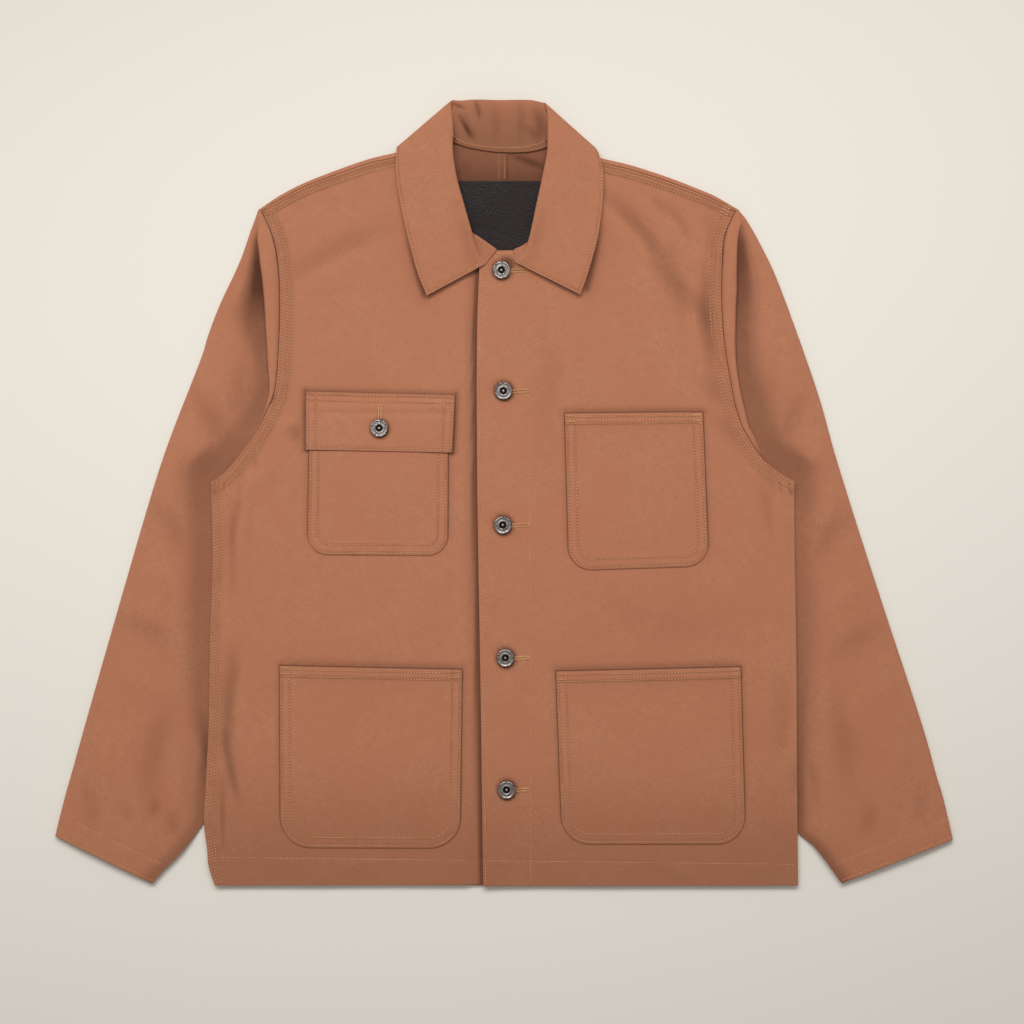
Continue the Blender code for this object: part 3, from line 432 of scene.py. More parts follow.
def seam_relief(away, along, band, rows, seed, rise=0.45):
    """Raised band of a lapped seam, pulled down at its rows of stitches, with puckers along it."""
    height = rise * ledge(away, band, 1.6) - 0.28 * bell(away - band - 1.4, 1.3)
    for row in rows:
        height -= 0.3 * bell(away - row, 0.9) * (1 + 0.35 * wander(along * 2.3, seed + row))
    pucker = 0.16 * wander(along * 1.9, seed) + 0.1 * wander(along * 4.1, seed + 2)
    return height + pucker * bell(away - 0.5 * band, 0.75 * band)


# ---------------------------------------------------------------- outlines shared by the pieces
def seam_line(rows, side):
    return through([(getattr(row, side + "_x"), row.y) for row in rows], 8)


SIDES = ("right", "left")
SIDE_LINE = {side: seam_line(SIDE_SEAM, side) for side in SIDES}
ARM_LINE = {side: seam_line(ARMHOLE, side) for side in SIDES}
SHOULDER_LINE = {side: through(SHOULDER_SEAM[side], 6) for side in SIDES}
ARM_ROWS = (2.2, 7.1, 10.8)
ARM_BAND = 12.3
SIDE_ROWS = (2.2, 5.1, 8)
SIDE_BAND = 10.6
SHOULDER_ROWS = (1.7, 4.7, 7.9)
SHOULDER_BAND = 9.2
CUFF_ROW = 21
COLLAR_ROW = 2.7
POCKET_ROWS = (2.7, 10)
MOUTH_ROWS = (4.4, 11)
FLAP_TOP_ROWS = (3.6, 9.4)
FLAP_LOW_ROW = 2.8


def body_edge(y, side):
    """Where the side seam or the armhole runs at a height."""
    return by_height(y, SIDE_SEAM[:-1] + ARMHOLE, side + "_x")


def hem_row(x):
    """Height at which the hem is stitched."""
    return mix(-350.4, -357.2, (x + 280) / 560)


def low_shade(y):
    """Shade that grows towards the hem."""
    return 0.24 * smooth((-240 - y) / 125)


def buttonhole_line(button):
    return np.array([(button[0] + 5, button[1] - 0.6), (BUTTONHOLE_END - 2, button[1] + 0.4)])


def pockets_of(side):
    return [pocket for pocket in POCKETS if (pocket.top_left[0] < 0) == (side == "right")]


def hidden_sleeve(x, y, side):
    """Distance in plan to the part of a sleeve that lies under the body."""
    line = np.array(SLEEVE_INNER[side][:8])
    edge = np.interp(y, line[::-1, 1], line[::-1, 0])
    inside = (y >= line[-1, 1]) & (y <= line[0, 1]) & (np.abs(x) >= np.abs(edge))
    return np.where(inside, 0, near(x, y, line)[0])


def back_height(x, y, side):
    """Height of the back's outer face, which lies on the floor, the sleeves or the collar."""
    over_sleeve = BACK_OVER_SLEEVE * smooth((BACK_REACH + BACK_RAMP - hidden_sleeve(x, y, side)) / BACK_RAMP)
    over_collar = (BACK_OVER_COLLAR * smooth((y - COLLAR_LIFT_Y) / COLLAR_LIFT_RAMP)
                   * smooth((COLLAR_LIFT_X - np.abs(x)) / COLLAR_LIFT_RAMP))
    return np.maximum(over_sleeve, over_collar)


def front_height(x, y, side):
    """Height of a front's outer face."""
    left = side == "left"
    room = FRONT_TOP - 2 * CLOTH - 0.2 - back_height(x, y, side)
    height = FRONT_TOP + within(1.15 * creases(x, y, FRONT_FOLDS), room)
    height += 0.32 * swell(x, y, 1 if left else 2.6)
    if not left:
        height -= UNDER_FRONT_DROP * smooth((x - PLACKET_EDGE + PLACKET_RAMP) / PLACKET_RAMP)
        height += seam_relief(*near(x, y, SIDE_LINE[side]), SIDE_BAND, SIDE_ROWS, 4)
    height += seam_relief(*near(x, y, ARM_LINE[side]), ARM_BAND, ARM_ROWS, 1 if left else 3)
    height += seam_relief(*near(x, y, SHOULDER_LINE[side]), SHOULDER_BAND, SHOULDER_ROWS, 5, 0.3)
    up = y - hem_row(x)
    height += 0.35 * ledge(up, 0, 2) - 0.4 * bell(up, 1.2) + 0.15 * wander(x * 0.9, 2) * bell(up, 7)
    if left:
        away, along = near(x, y, through(FRONT_EDGE["left"], 8))
        height += 1.1 * bell(away, 14) - 0.3 * bell(away - 3, 0.9) + 0.12 * wander(along, 6) * bell(away, 10)
        height += 0.3 * smooth((FACING_X + 1.5 - x) / 3) - 0.22 * bell(x - FACING_X, 1.3)
        for number, button in enumerate(BUTTONS):
            right, up = x - button[0], y - button[1]
            spread = np.hypot(right, up)
            away, along = near(x, y, buttonhole_line(button))
            height += 0.35 * bell(away - 3.2, 1.6) - 0.5 * bell(away, 1.5) - 0.9 * bell(spread, 7.5)
            height += 0.4 * bell(spread - 16, 9) * np.sin(3 * np.arctan2(up, right) + number)
    for pocket in pockets_of(side):
        mouth = np.array([pocket.top_left, pocket.top_right])
        inside = smooth((x - mouth[0, 0]) / 8 + 0.5) * smooth((mouth[1, 0] - x) / 8 + 0.5)
        height -= 0.9 * inside * bell(y - np.interp(x, *mouth.T) + 1, 3.4)
    return height


# ---------------------------------------------------------------- finishes
def linear(code):
    """Linear colour from an sRGB hex value."""
    parts = [int(code[i:i + 2], 16) / 255 for i in (1, 3, 5)]
    return (*[p / 12.92 if p <= 0.04045 else ((p + 0.055) / 1.055) ** 2.4 for p in parts], 1)


def wire(tree, node, inputs):
    """Give a node its inputs, as values or as links from sockets."""
    for key, value in inputs.items():
        if isinstance(value, bpy.types.NodeSocket):
            tree.links.new(value, node.inputs[key])
        else:
            node.inputs[key].default_value = value


def add(tree, kind, inputs=None, out=0, **settings):
    """Add a shader node with its settings and inputs, and hand on one of its outputs."""
    node = tree.nodes.new("ShaderNode" + kind)
    for key, value in settings.items():
        setattr(node, key, value)
    wire(tree, node, inputs or {})
    return node.outputs[out]


def finish(name):
    """New material with its shader."""
    material = bpy.data.materials.new(name)
    material.use_nodes = True
    tree = material.node_tree
    return material, tree, tree.nodes["Principled BSDF"]


WAVE_PERIOD = math.pi / 10  # a wave texture of scale 1 repeats at this distance


def cotton_duck():
    """Cotton duck, plain woven and garment dyed: matt, with uneven threads and a faint bloom of fibre.

    Its threads are 0.6 mm apart; they are drawn 1.5 mm apart so that the weave shows.
    """
    thread = 1.5 * MM
    material, tree, shader = finish("cotton_duck")
    threads = add(tree, "UVMap", uv_map="threads")
    place = add(tree, "TexCoord", out="Object")
    warp, weft = [add(tree, "TexWave", {
        "Vector": threads, "Scale": WAVE_PERIOD / thread, "Distortion": 1.4, "Detail": 2,
        "Detail Scale": 0.35}, "Fac", bands_direction=way) for way in "XY"]
    weave = add(tree, "Math", {0: warp, 1: weft}, operation="ADD")
    long_way = add(tree, "Mapping", {"Vector": threads, "Scale": (900, 150, 1)})
    cross_way = add(tree, "Mapping", {"Vector": threads, "Scale": (140, 880, 1)})
    slub_warp, slub_weft, fleck, cloud, wear = [add(tree, "TexNoise", {
        "Vector": where, "Scale": scale, "Detail": detail, "Roughness": rough})
        for where, scale, detail, rough in (
            (long_way, 1, 2, 0.6), (cross_way, 1, 2, 0.6), (threads, 640, 3, 0.7),
            (place, 16, 4, 0.55), (place, 105, 3, 0.6))]
    streaks = add(tree, "Math", {0: slub_warp, 1: slub_weft}, operation="ADD")
    slubs = add(tree, "Math", {0: wear, 1: 0.75, 2: streaks}, operation="MULTIPLY_ADD")
    grain = add(tree, "Math", {0: slubs, 1: fleck}, operation="ADD")
    tone = add(tree, "MapRange", {"Value": grain, "From Min": 1.25, "From Max": 2.5})
    dyed = add(tree, "Mix", {0: tone, 6: linear(DUCK_DARK), 7: linear(DUCK_LIGHT)}, 2, data_type="RGBA")
    faded = add(tree, "MapRange", {"Value": cloud, "From Min": 0.34, "From Max": 0.66, "To Max": 0.75})
    clouded = add(tree, "Mix", {0: faded, 6: dyed, 7: linear(DUCK_CLOUD)}, 2, data_type="RGBA")
    # Painted shade: the deep attribute darkens the cloth towards a dark brown in creases, gaps, stitch rows
    # and along raised edges.
    fold = add(tree, "Attribute", out="Fac", attribute_name="deep")
    depth = add(tree, "Math", {0: fold, 1: 0.9}, operation="MULTIPLY")
    shaded = add(tree, "Mix", {0: depth, 6: clouded, 7: linear(DUCK_PAINTED_SHADE)}, 2, data_type="RGBA")
    rough = add(tree, "MapRange", {
        "Value": grain, "From Min": 1.35, "From Max": 2.4, "To Min": 0.95, "To Max": 0.82})
    surface = add(tree, "Math", {0: weave, 1: 0.28, 2: grain}, operation="MULTIPLY_ADD")
    bump = add(tree, "Bump", {"Height": surface, "Strength": 0.36, "Distance": 0.22 * MM})
    wire(tree, shader, {
        "Base Color": shaded, "Roughness": rough, "Normal": bump, "Specular IOR Level": 0.22,
        "Sheen Weight": 0.12, "Sheen Roughness": 0.5, "Sheen Tint": linear("#e8b896")})
    return material


def topstitch_thread(name, light, dark):
    """Waxed cotton topstitch thread: twisted, a touch glossy, golden against the cloth."""
    material, tree, shader = finish(name)
    place = add(tree, "TexCoord", out="Object")
    twist = add(tree, "TexNoise", {"Vector": place, "Scale": 900, "Detail": 2, "Roughness": 0.6})
    worn = add(tree, "TexNoise", {"Vector": place, "Scale": 45, "Detail": 2})
    both = add(tree, "Math", {0: twist, 1: 0.6, 2: worn}, operation="MULTIPLY_ADD")
    tone = add(tree, "MapRange", {"Value": both, "From Min": 0.55, "From Max": 1.05})
    colour = add(tree, "Mix", {0: tone, 6: linear(dark), 7: linear(light)}, 2, data_type="RGBA")
    bump = add(tree, "Bump", {"Height": twist, "Strength": 0.4, "Distance": 0.1 * MM})
    wire(tree, shader, {"Base Color": colour, "Normal": bump, "Roughness": 0.7, "Specular IOR Level": 0.3})
    return material


def patch_leather():
    """Drum-dyed cowhide, almost black, with a fine pebbled grain and paler where its raised spots wear."""
    material, tree, shader = finish("patch_leather")
    place = add(tree, "TexCoord", out="Object")
    pebble = add(tree, "TexVoronoi", {"Vector": place, "Scale": 560}, "Distance", feature="SMOOTH_F1")
    crease = add(tree, "TexNoise", {
        "Vector": place, "Scale": 70, "Detail": 5, "Roughness": 0.6, "Distortion": 1.2})
    worn = add(tree, "TexNoise", {"Vector": place, "Scale": 28, "Detail": 4, "Roughness": 0.6})
    both = add(tree, "Math", {0: crease, 1: worn}, operation="ADD")
    tone = add(tree, "MapRange", {"Value": both, "From Min": 0.75, "From Max": 1.3})
    colour = add(tree, "Mix", {0: tone, 6: linear("#110a09"), 7: linear("#261b19")}, 2, data_type="RGBA")
    rough = add(tree, "MapRange", {
        "Value": both, "From Min": 0.7, "From Max": 1.3, "To Min": 0.48, "To Max": 0.72})
    grain = add(tree, "Math", {0: pebble, 1: 0.5, 2: crease}, operation="MULTIPLY_ADD")
    bump = add(tree, "Bump", {"Height": grain, "Strength": 0.7, "Distance": 1.1 * MM})
    wire(tree, shader, {"Base Color": colour, "Roughness": rough, "Normal": bump, "Specular IOR Level": 0.25})
    return material


def button_metal():
    """Pressed steel, antiqued: bright where it is rubbed, dark oxide in its hollows."""
    material, tree, shader = finish("antiqued_steel")
    place = add(tree, "TexCoord", out="Object")
    patina = add(tree, "TexNoise", {"Vector": place, "Scale": 640, "Detail": 2, "Roughness": 0.5})
    scuff = add(tree, "TexNoise", {"Vector": place, "Scale": 1500, "Detail": 2})
    hollow = add(tree, "Attribute", out="Fac", attribute_name="deep")
    dark = add(tree, "MapRange", {
        "Value": patina, "From Min": 0.44, "From Max": 0.6, "To Min": 0.05, "To Max": 0.75})
    oxide = add(tree, "Math", {0: dark, 1: hollow}, operation="MAXIMUM")
    colour = add(tree, "Mix", {0: oxide, 6: linear("#aaa29e"), 7: linear("#241a16")}, 2, data_type="RGBA")
    rough = add(tree, "MapRange", {"Value": oxide, "To Min": 0.3, "To Max": 0.62})
    bump = add(tree, "Bump", {"Height": scuff, "Strength": 0.25, "Distance": 0.1 * MM})
    wire(tree, shader, {"Base Color": colour, "Roughness": rough, "Normal": bump, "Metallic": 1})
    return material


DUCK_LIGHT = "#bd8160"
DUCK_DARK = "#a4694f"
DUCK_CLOUD = "#b07154"
# Colour of the painted shade in creases, gaps and along edges.
DUCK_PAINTED_SHADE = "#381a0d"
DUCK = cotton_duck()
THREAD = topstitch_thread("topstitch_thread", "#dba477", "#b47a52")
NECK_THREAD = topstitch_thread("neck_seam_thread", "#e0a67a", "#b07850")
LOOP_THREAD = topstitch_thread("buttonhole_thread", "#dba878", "#b57f53")
PATCH_LEATHER = patch_leather()
METAL = button_metal()


# ---------------------------------------------------------------- making a sheet of cloth
MAKING = bpy.data.collections.new("chore_jacket_cloth")
bpy.context.scene.collection.children.link(MAKING)


def new_piece(name, mesh, material):
    """Object for a finished mesh, smooth and in its material."""
    mesh.shade_smooth()
    mesh.materials.append(material)
    piece = bpy.data.objects.new(name, mesh)
    MAKING.objects.link(piece)
    return piece


def cloth_sheet(name, points, weave, facing=1, wall=CLOTH, material=DUCK, offset=-1, deep=None, rim=0.3):
    """Sheet from a grid put in place by rows of points in millimetres, with its wall.

    weave holds each point's place along the threads; facing is 1 where the first column's
    outer face looks up, and -1 where it looks down; deep is how much painted shade each point
    gets, in creases, gaps, stitch rows and along edges.
    """
    rows, columns = points.shape[0] - 1, points.shape[1] - 1
    grid = bmesh.new()
    bmesh.ops.create_grid(grid, x_segments=columns, y_segments=rows, size=0.5)
    mesh = bpy.data.meshes.new(name)
    first = points[:, :columns // 4 + 2, :2]
    across, down = np.diff(first, axis=1)[:-1], np.diff(first, axis=0)[:, :-1]
    if (across[..., 0] * down[..., 1] - across[..., 1] * down[..., 0]).sum() * facing < 0:
        bmesh.ops.reverse_faces(grid, faces=grid.faces)
    grid.to_mesh(mesh)
    grid.free()
    flat = np.empty(len(mesh.vertices) * 3)
    mesh.vertices.foreach_get("co", flat)
    col = np.rint((flat[0::3] + 0.5) * columns).astype(int)
    row = np.rint((flat[1::3] + 0.5) * rows).astype(int)
    mesh.vertices.foreach_set("co", (points[row, col] * MM).ravel())
    corners = np.empty(len(mesh.loops), int)
    mesh.loops.foreach_get("vertex_index", corners)
    threads = mesh.uv_layers.new(name="threads")
    threads.data.foreach_set("uv", (weave[row, col] * MM)[corners].ravel())
    depth = mesh.attributes.new("deep", "FLOAT", "POINT")
    depth.data.foreach_set("value", np.zeros(len(row)) if deep is None else deep[row, col].astype(float))
    mesh.update()
    piece = new_piece(name + "_cloth", mesh, material)
    solidify = piece.modifiers.new("Wall", "SOLIDIFY")
    solidify.thickness = wall * MM
    solidify.offset = offset
    if rim:
        bevel = piece.modifiers.new("Rim", "BEVEL")
        bevel.width = rim * MM
        bevel.segments = 2
        bevel.limit_method = "ANGLE"
        bevel.angle_limit = math.radians(62)
    return piece


def stops(start, *stretches):
    """Rising values from a start; each stretch adds even steps up to its end."""
    made = [np.array([start], float)]
    for end, count in stretches:
        made.append(np.linspace(made[-1][-1], end, count + 1)[1:])
    return np.concatenate(made)


def after(count):
    """Even steps up to 1, without the nought that the stage before ends on."""
    return np.linspace(0, 1, count + 1)[1:]


def between(first, last, width, count):
    """Parts of a width: fine stops in from both edges in millimetres, and even ones between them."""
    fill = mix(first[-1] / width, 1 - last[-1] / width, np.linspace(0, 1, count)[1:-1])
    return np.concatenate([first / width, fill, 1 - last[::-1] / width])


def part(run, start, end):
    return lambda t: run(mix(start, end, t))


def two_rails(*stages):
    """Both ends of every row of a panel, from runs along its two sides."""
    return [np.vstack([stage[k](stage[2]) for stage in stages]) for k in (0, 1)]


def drawn_in(a, b, first, last=0):
    """Both ends of rows moved towards each other."""
    out = (b - a) / np.linalg.norm(b - a, axis=1)[:, None]
    return a + out * first, b - out * last


def across_rows(a, b, parts):
    """Places along each row, at parts of its length."""
    return a[:, None] + (b - a)[:, None] * np.atleast_2d(parts)[..., None]


BY_SEAM = np.array([0, 0.6, 1.4, 2.2, 3, 4, 5.1, 6.2, 7.1, 8, 9, 10, 10.8, 11.7, 12.9, 14.4, 16.2, 18.2, 20.3,
                    22.4, 24.6, 26.8, 29, 31.4, 34, 37])
BY_EDGE = np.array([0, 0.6, 1.3, 2.1, 3, 3.9, 5, 6.6, 9])
NECK_STEPS = 44


def fronts(side):
    """Front panel: rows run from the side seam and armhole to the front edge and neckline."""
    seam, arm = by_point(SIDE_LINE[side]), by_point(ARM_LINE[side])
    edge, neckline = by_length(through(FRONT_EDGE[side])), by_length(through(NECKLINE[side]))
    a, b = drawn_in(*two_rails(
        (seam, part(edge, 0, 0.64), stops(0, (0.085, 25), (1, 103))),
        (part(arm, 0, 0.5), part(edge, 0.64, 1), after(66)),
        (part(arm, 0.5, 0.6), by_length(np.array(NECK_FRONT[side], float)), after(10)),
        (part(arm, 0.6, 0.7), part(neckline, 0, 0.12), after(8)),
        (part(arm, 0.7, 1), part(neckline, 0.12, 1), after(NECK_STEPS))), EDGE_GAP, SEAM)
    parts = np.array([between(BY_SEAM, BY_EDGE, width, 74) for width in np.linalg.norm(b - a, axis=1)])
    plan = across_rows(a, b, parts)
    bow = by_length(SHOULDER_LINE[side])(parts[-1]) - (0, SEAM) - plan[-1]
    plan[-NECK_STEPS:] += bow[None] * smooth(after(NECK_STEPS))[:, None, None]
    x, y = plan[..., 0], plan[..., 1]
    # deep is painted shade: in the creases, under the placket's edge, along seams and stitch rows, at the hem
    # and towards it, round the buttons, and beside the collar, pockets and flap.
    deep = painted_crease_shade(x, y, FRONT_FOLDS)
    if side == "right":
        past = x - np.interp(y, *np.array(FRONT_EDGE["left"]).T[::-1])
        deep = most(deep, 0.12 * smooth((past + 14) / 8) + 0.62 * smooth((past + 6.5) / 3.5),
                    row_shade(near(x, y, SIDE_LINE[side])[0], SIDE_ROWS))
    else:
        deep[:, -1] = 0.5
    from_arm, from_shoulder = near(x, y, ARM_LINE[side])[0], near(x, y, SHOULDER_LINE[side])[0]
    deep = most(deep, row_shade(from_arm, ARM_ROWS), 0.12 * bell(from_arm - 8, 6),
                row_shade(from_shoulder, SHOULDER_ROWS), 0.16 * bell(from_shoulder - 4, 5),
                0.3 * bell(y - hem_row(x), 0.9), low_shade(y))
    deep[:, 0] = 0.22
    if side == "left":
        shades = [round_shade(x, y, (button[0] + 0.8, button[1] + 0.4), 7.4, 0.9, 2.8) for button in BUTTONS]
        top_button = (BUTTONS[0][0] + 5, BUTTONS[0][1] + 5.5)
        deep = most(deep, *shades, round_shade(x, y, top_button, 4.5, 0.8, 4))
    away, along = near(x, y, COLLAR_EDGE[side])
    deep = most(deep, (0.5 * bell(away, 3.2) + 0.14 * bell(away, 9)) * smooth(along / 60))
    for pocket in pockets_of(side):
        fade = smooth((y - pocket.bottom_left[1] - 4) / 26)
        deep = most(deep, 0.18 * bell(near(x, y, pocket_outline(pocket))[0], 3.2) * fade,
                    0.24 * bell(near(x, y, [pocket.top_left, pocket.top_right])[0], 3.8))
    for start, end, dark in FLAP_EDGES if side == "right" else ():
        deep = most(deep, dark * bell(near(x, y, [start, end])[0], 3.2))
    return cloth_sheet("front_" + side, np.dstack([x, y, front_height(x, y, side)]), plan, deep=deep)


def backs(side):
    """Half of the back, with its turn over the shoulder to the seam on the front."""
    middle = CENTRE_BACK + (SEAM / 2 if side == "left" else -SEAM / 2)
    centre = by_length(np.array([(middle, HEM), (middle, BACK_NECK[side][0][1])]))
    arm = by_point(ARM_LINE[side])
    a, b = drawn_in(*two_rails(
        (by_point(SIDE_LINE[side]), part(centre, 0, 0.5), np.linspace(0, 1, 66)),
        (part(arm, 0, 0.5), part(centre, 0.5, 0.8), after(35)),
        (part(arm, 0.5, 0.7), part(centre, 0.8, 1), after(41)),
        (part(arm, 0.7, 1), by_length(through(BACK_NECK[side])), after(25))), SEAM)
    t = stops(0, (0.06, 6), (0.93, 43), (1, 11))
    plan = across_rows(a, b, t)
    x, y = plan[..., 0], plan[..., 1]
    height = back_height(x, y, side)
    lift = within(creases(x, y, BACK_FOLDS), 0.4)
    lift += np.where(y > 250, 0.35 * ledge(np.abs(x - middle), 9, 1.5), 0)
    flat = np.dstack([plan, height + np.maximum(lift, -0.9 * height)])
    share = mix(SHOULDER_START, 1, t)
    fold, front_seam = by_length(through(SHOULDER_FOLD[side]))(share), by_length(SHOULDER_LINE[side])(share)
    low = back_height(fold[:, 0], fold[:, 1], side)
    flat[-1] = np.column_stack([fold - (0, SHOULDER_ROUND + 0.6), low])
    turn = []
    for angle in np.radians(np.linspace(-90, 90, 11)):
        place = fold + (0, SHOULDER_ROUND * (math.cos(angle) - 1))
        turn.append(np.column_stack([place, mix(low, FRONT_TOP, 0.5 * (1 + math.sin(angle)))]))
    for step in after(5):
        place = mix(fold - (0, SHOULDER_ROUND), front_seam, step)
        rise = 0.35 * math.sin(math.pi * step) + 0.3 * smooth(step) + 0.1 * wander(place[:, 0], 4) * step
        turn.append(np.column_stack([place, FRONT_TOP + rise]))
    points = np.vstack([flat, np.array(turn)])
    x, y, z = np.moveaxis(points, 2, 0)
    # Painted shade inside the neck under the collar, and in the creases.
    inside = smooth((y - 240) / 20) * smooth((70 - np.abs(x)) / 12) * (z < 4)
    deep = inside * mix(0.81, 0.58, smooth((y - 300) / 26)) + painted_crease_shade(x, y, BACK_FOLDS)
    weave = points[..., :2].copy()
    weave[-len(turn):, :, 1] += np.linspace(0, 1, len(turn))[:, None] * 2 * SHOULDER_ROUND
    return cloth_sheet("back_" + side, points, weave, -1, deep=deep, rim=0)


def outside_body(x, y, side):
    """Distance out past the body's edge, the corner under the arm eased."""
    edge, corner = np.abs(body_edge(y, side)), np.abs(body_edge(ARMPIT_Y, side))
    return np.abs(x) - np.where(y > ARMPIT_Y, mix(corner, edge, smooth((y - ARMPIT_Y) / 60)), edge)


def sleeve_height(x, y, side):
    """Height of a sleeve's upper layer, which the body presses down along its edge."""
    press = smooth((SLEEVE_PRESS_WIDTH - outside_body(x, y, side) + 2) / SLEEVE_PRESS_WIDTH)
    press *= smooth((62 - y) / 46)
    lift = creases(x, y, SLEEVE_FOLDS[side]) + 0.4 * swell(x, y, 5 if side == "left" else 7.7)
    return mix(SLEEVE_TOP, SLEEVE_PRESSED, press) + lift * (1 - press), press


HEAD_ROWS = 96


def sleeves(side):
    """Sleeve: each row goes out over the top, round the outer fold and back along the floor."""
    inner, outer = by_length(through(SLEEVE_INNER[side])), by_length(through(SLEEVE_OUTER[side]))
    a, b = two_rails(
        (by_point(ARM_LINE[side][::-1]), part(outer, 0, SLEEVE_HEAD), np.linspace(0, 1, HEAD_ROWS)),
        (inner, part(outer, SLEEVE_HEAD, 1), stops(0, (0.93, 111), (1, 24))[1:]))
    width = np.linalg.norm(b - a, axis=1)[:, None]
    out = (b - a) / width
    number = np.arange(len(a))[:, None]
    head = number < HEAD_ROWS
    reach, height, dark, core, tail = [by_height(a[:, 1:], TUCK[side], key) for key in TuckRow._fields[1:]]
    reach = np.minimum(reach, 0.6 * width)
    tail_room = np.clip((0.74 * width - reach) / TUCK_PAST[-1], 0.02, 1)
    hidden = np.maximum(np.abs(body_edge(a[:, 1:], side)) - np.abs(a[:, :1]), 0)
    fine = np.where(head, reach * TUCK_PARTS + TUCK_PAST * tail_room,
                    hidden * EDGE_PARTS + EDGE_PAST * np.minimum(1, width / 60))
    radius = np.minimum(SLEEVE_ROUND, 0.25 * width)
    fill = after(32)
    top = np.hstack([fine, mix(fine[:, -1:], width - radius, fill)])
    lift = np.hstack([np.where(head, height * TUCK_UP, 0), np.zeros((len(a), len(fill)))])
    low = a + out * EDGE_GAP
    plan = low[:, None] + out[:, None] * top[..., None]
    x, y = plan[..., 0], plan[..., 1]
    base, press = sleeve_height(x, y, side)
    outside, up_arm = outside_body(x, y, side), smooth((y - 24) / 60)
    full = np.minimum(1, width / 90) * mix(1, 0.45, smooth(number / len(a) * 4 - 3))
    past = np.where(head, mix(outside, top - reach - 12, up_arm), top - hidden)
    puff = SLEEVE_PUFF * full * smooth(past / 38) * smooth((1 - top / width) / 0.3) * (1 - press)
    away, along = near(x, y, [SLEEVE_INNER[side][-1], SLEEVE_OUTER[side][-1]])
    cuff = 0.35 * ledge(away, CUFF_ROW, 1.6) - 0.4 * bell(away - CUFF_ROW, 1.2) - 0.3 * bell(away - 3, 0.9)
    cuff += 0.22 * wander(along, 3.3) * bell(away - CUFF_ROW, 8)
    upper = np.dstack([plan, base + lift + puff + cuff])
    under = []
    for angle in np.radians(np.linspace(90, -90, 11)[1:]):
        place = low + out * (width - radius + radius * math.cos(angle))
        under.append(np.column_stack([place, upper[:, -1, 2] * 0.5 * (1 + math.sin(angle))]))
    for step in np.linspace(1, 0, 25)[1:]:
        under.append(np.column_stack([low + out * (width - radius) * step, np.zeros(len(a))]))
    points = np.concatenate([upper, np.stack(under, axis=1)], axis=1)
    around = np.cumsum(np.linalg.norm(np.diff(points, axis=1), axis=2), axis=1)
    around = np.hstack([np.zeros((len(a), 1)), around]) - 0.5 * width
    weave = np.dstack([around, np.broadcast_to(-lengths(b)[:, None], around.shape)])
    # Painted shade past the tuck's edge and along the body's edge, at the armhole seam and in the creases.
    beyond = np.where(head, mix(np.maximum(outside, 0.3), top - reach, up_arm), top - hidden)
    fall_off = np.where(beyond < core, 1, bell(beyond - core, tail))
    hollow = most(dark * np.where(beyond >= 0.3, fall_off, bell(beyond - 0.3, 0.7)),
                  np.where(head, 0.2 * bell(top, 0.8), 0), painted_crease_shade(x, y, SLEEVE_FOLDS[side]))
    deep = np.hstack([hollow, np.zeros((len(a), len(under)))])
    return cloth_sheet("sleeve_" + side, points, weave, deep=deep, rim=0)


def collar_point(across, along):
    """Point of the collar: along goes round the neck, across from the seam over the roll."""
    place = min(max(along, 0), 1) * (len(COLLAR) - 1)
    index = min(int(place), len(COLLAR) - 2)
    b, c = np.array(COLLAR[index]), np.array(COLLAR[index + 1])
    a = np.array(COLLAR[index - 1]) if index > 0 else 2 * b - c
    d = np.array(COLLAR[index + 2]) if index < len(COLLAR) - 2 else 2 * c - b
    seam, roll, outer, (turn,) = np.split(curve(a, b, c, d, place - index), (3, 6, 9))
    stand, fall = roll - seam, outer - roll
    level = np.array([fall[0], fall[1], 0])
    over = np.array([0, 0, turn]) + level / np.linalg.norm(level) * (1 - abs(turn))
    over *= min(ROLL_BACK if turn < 0 else ROLL_FRONT, 0.6 * np.linalg.norm(stand) + 4) / np.linalg.norm(over)
    if across <= 1:
        start, end, leave, arrive, t = seam, roll, stand, over, across
    else:
        level[2] = min(0, fall[2]) if turn > 0 else 0
        start, end, leave, arrive, t = roll, outer, over, level, across - 1
    return (start * (2 * t ** 3 - 3 * t ** 2 + 1) + leave * (t ** 3 - 2 * t ** 2 + t)
            + end * (3 * t ** 2 - 2 * t ** 3) + arrive * (t ** 3 - t ** 2))


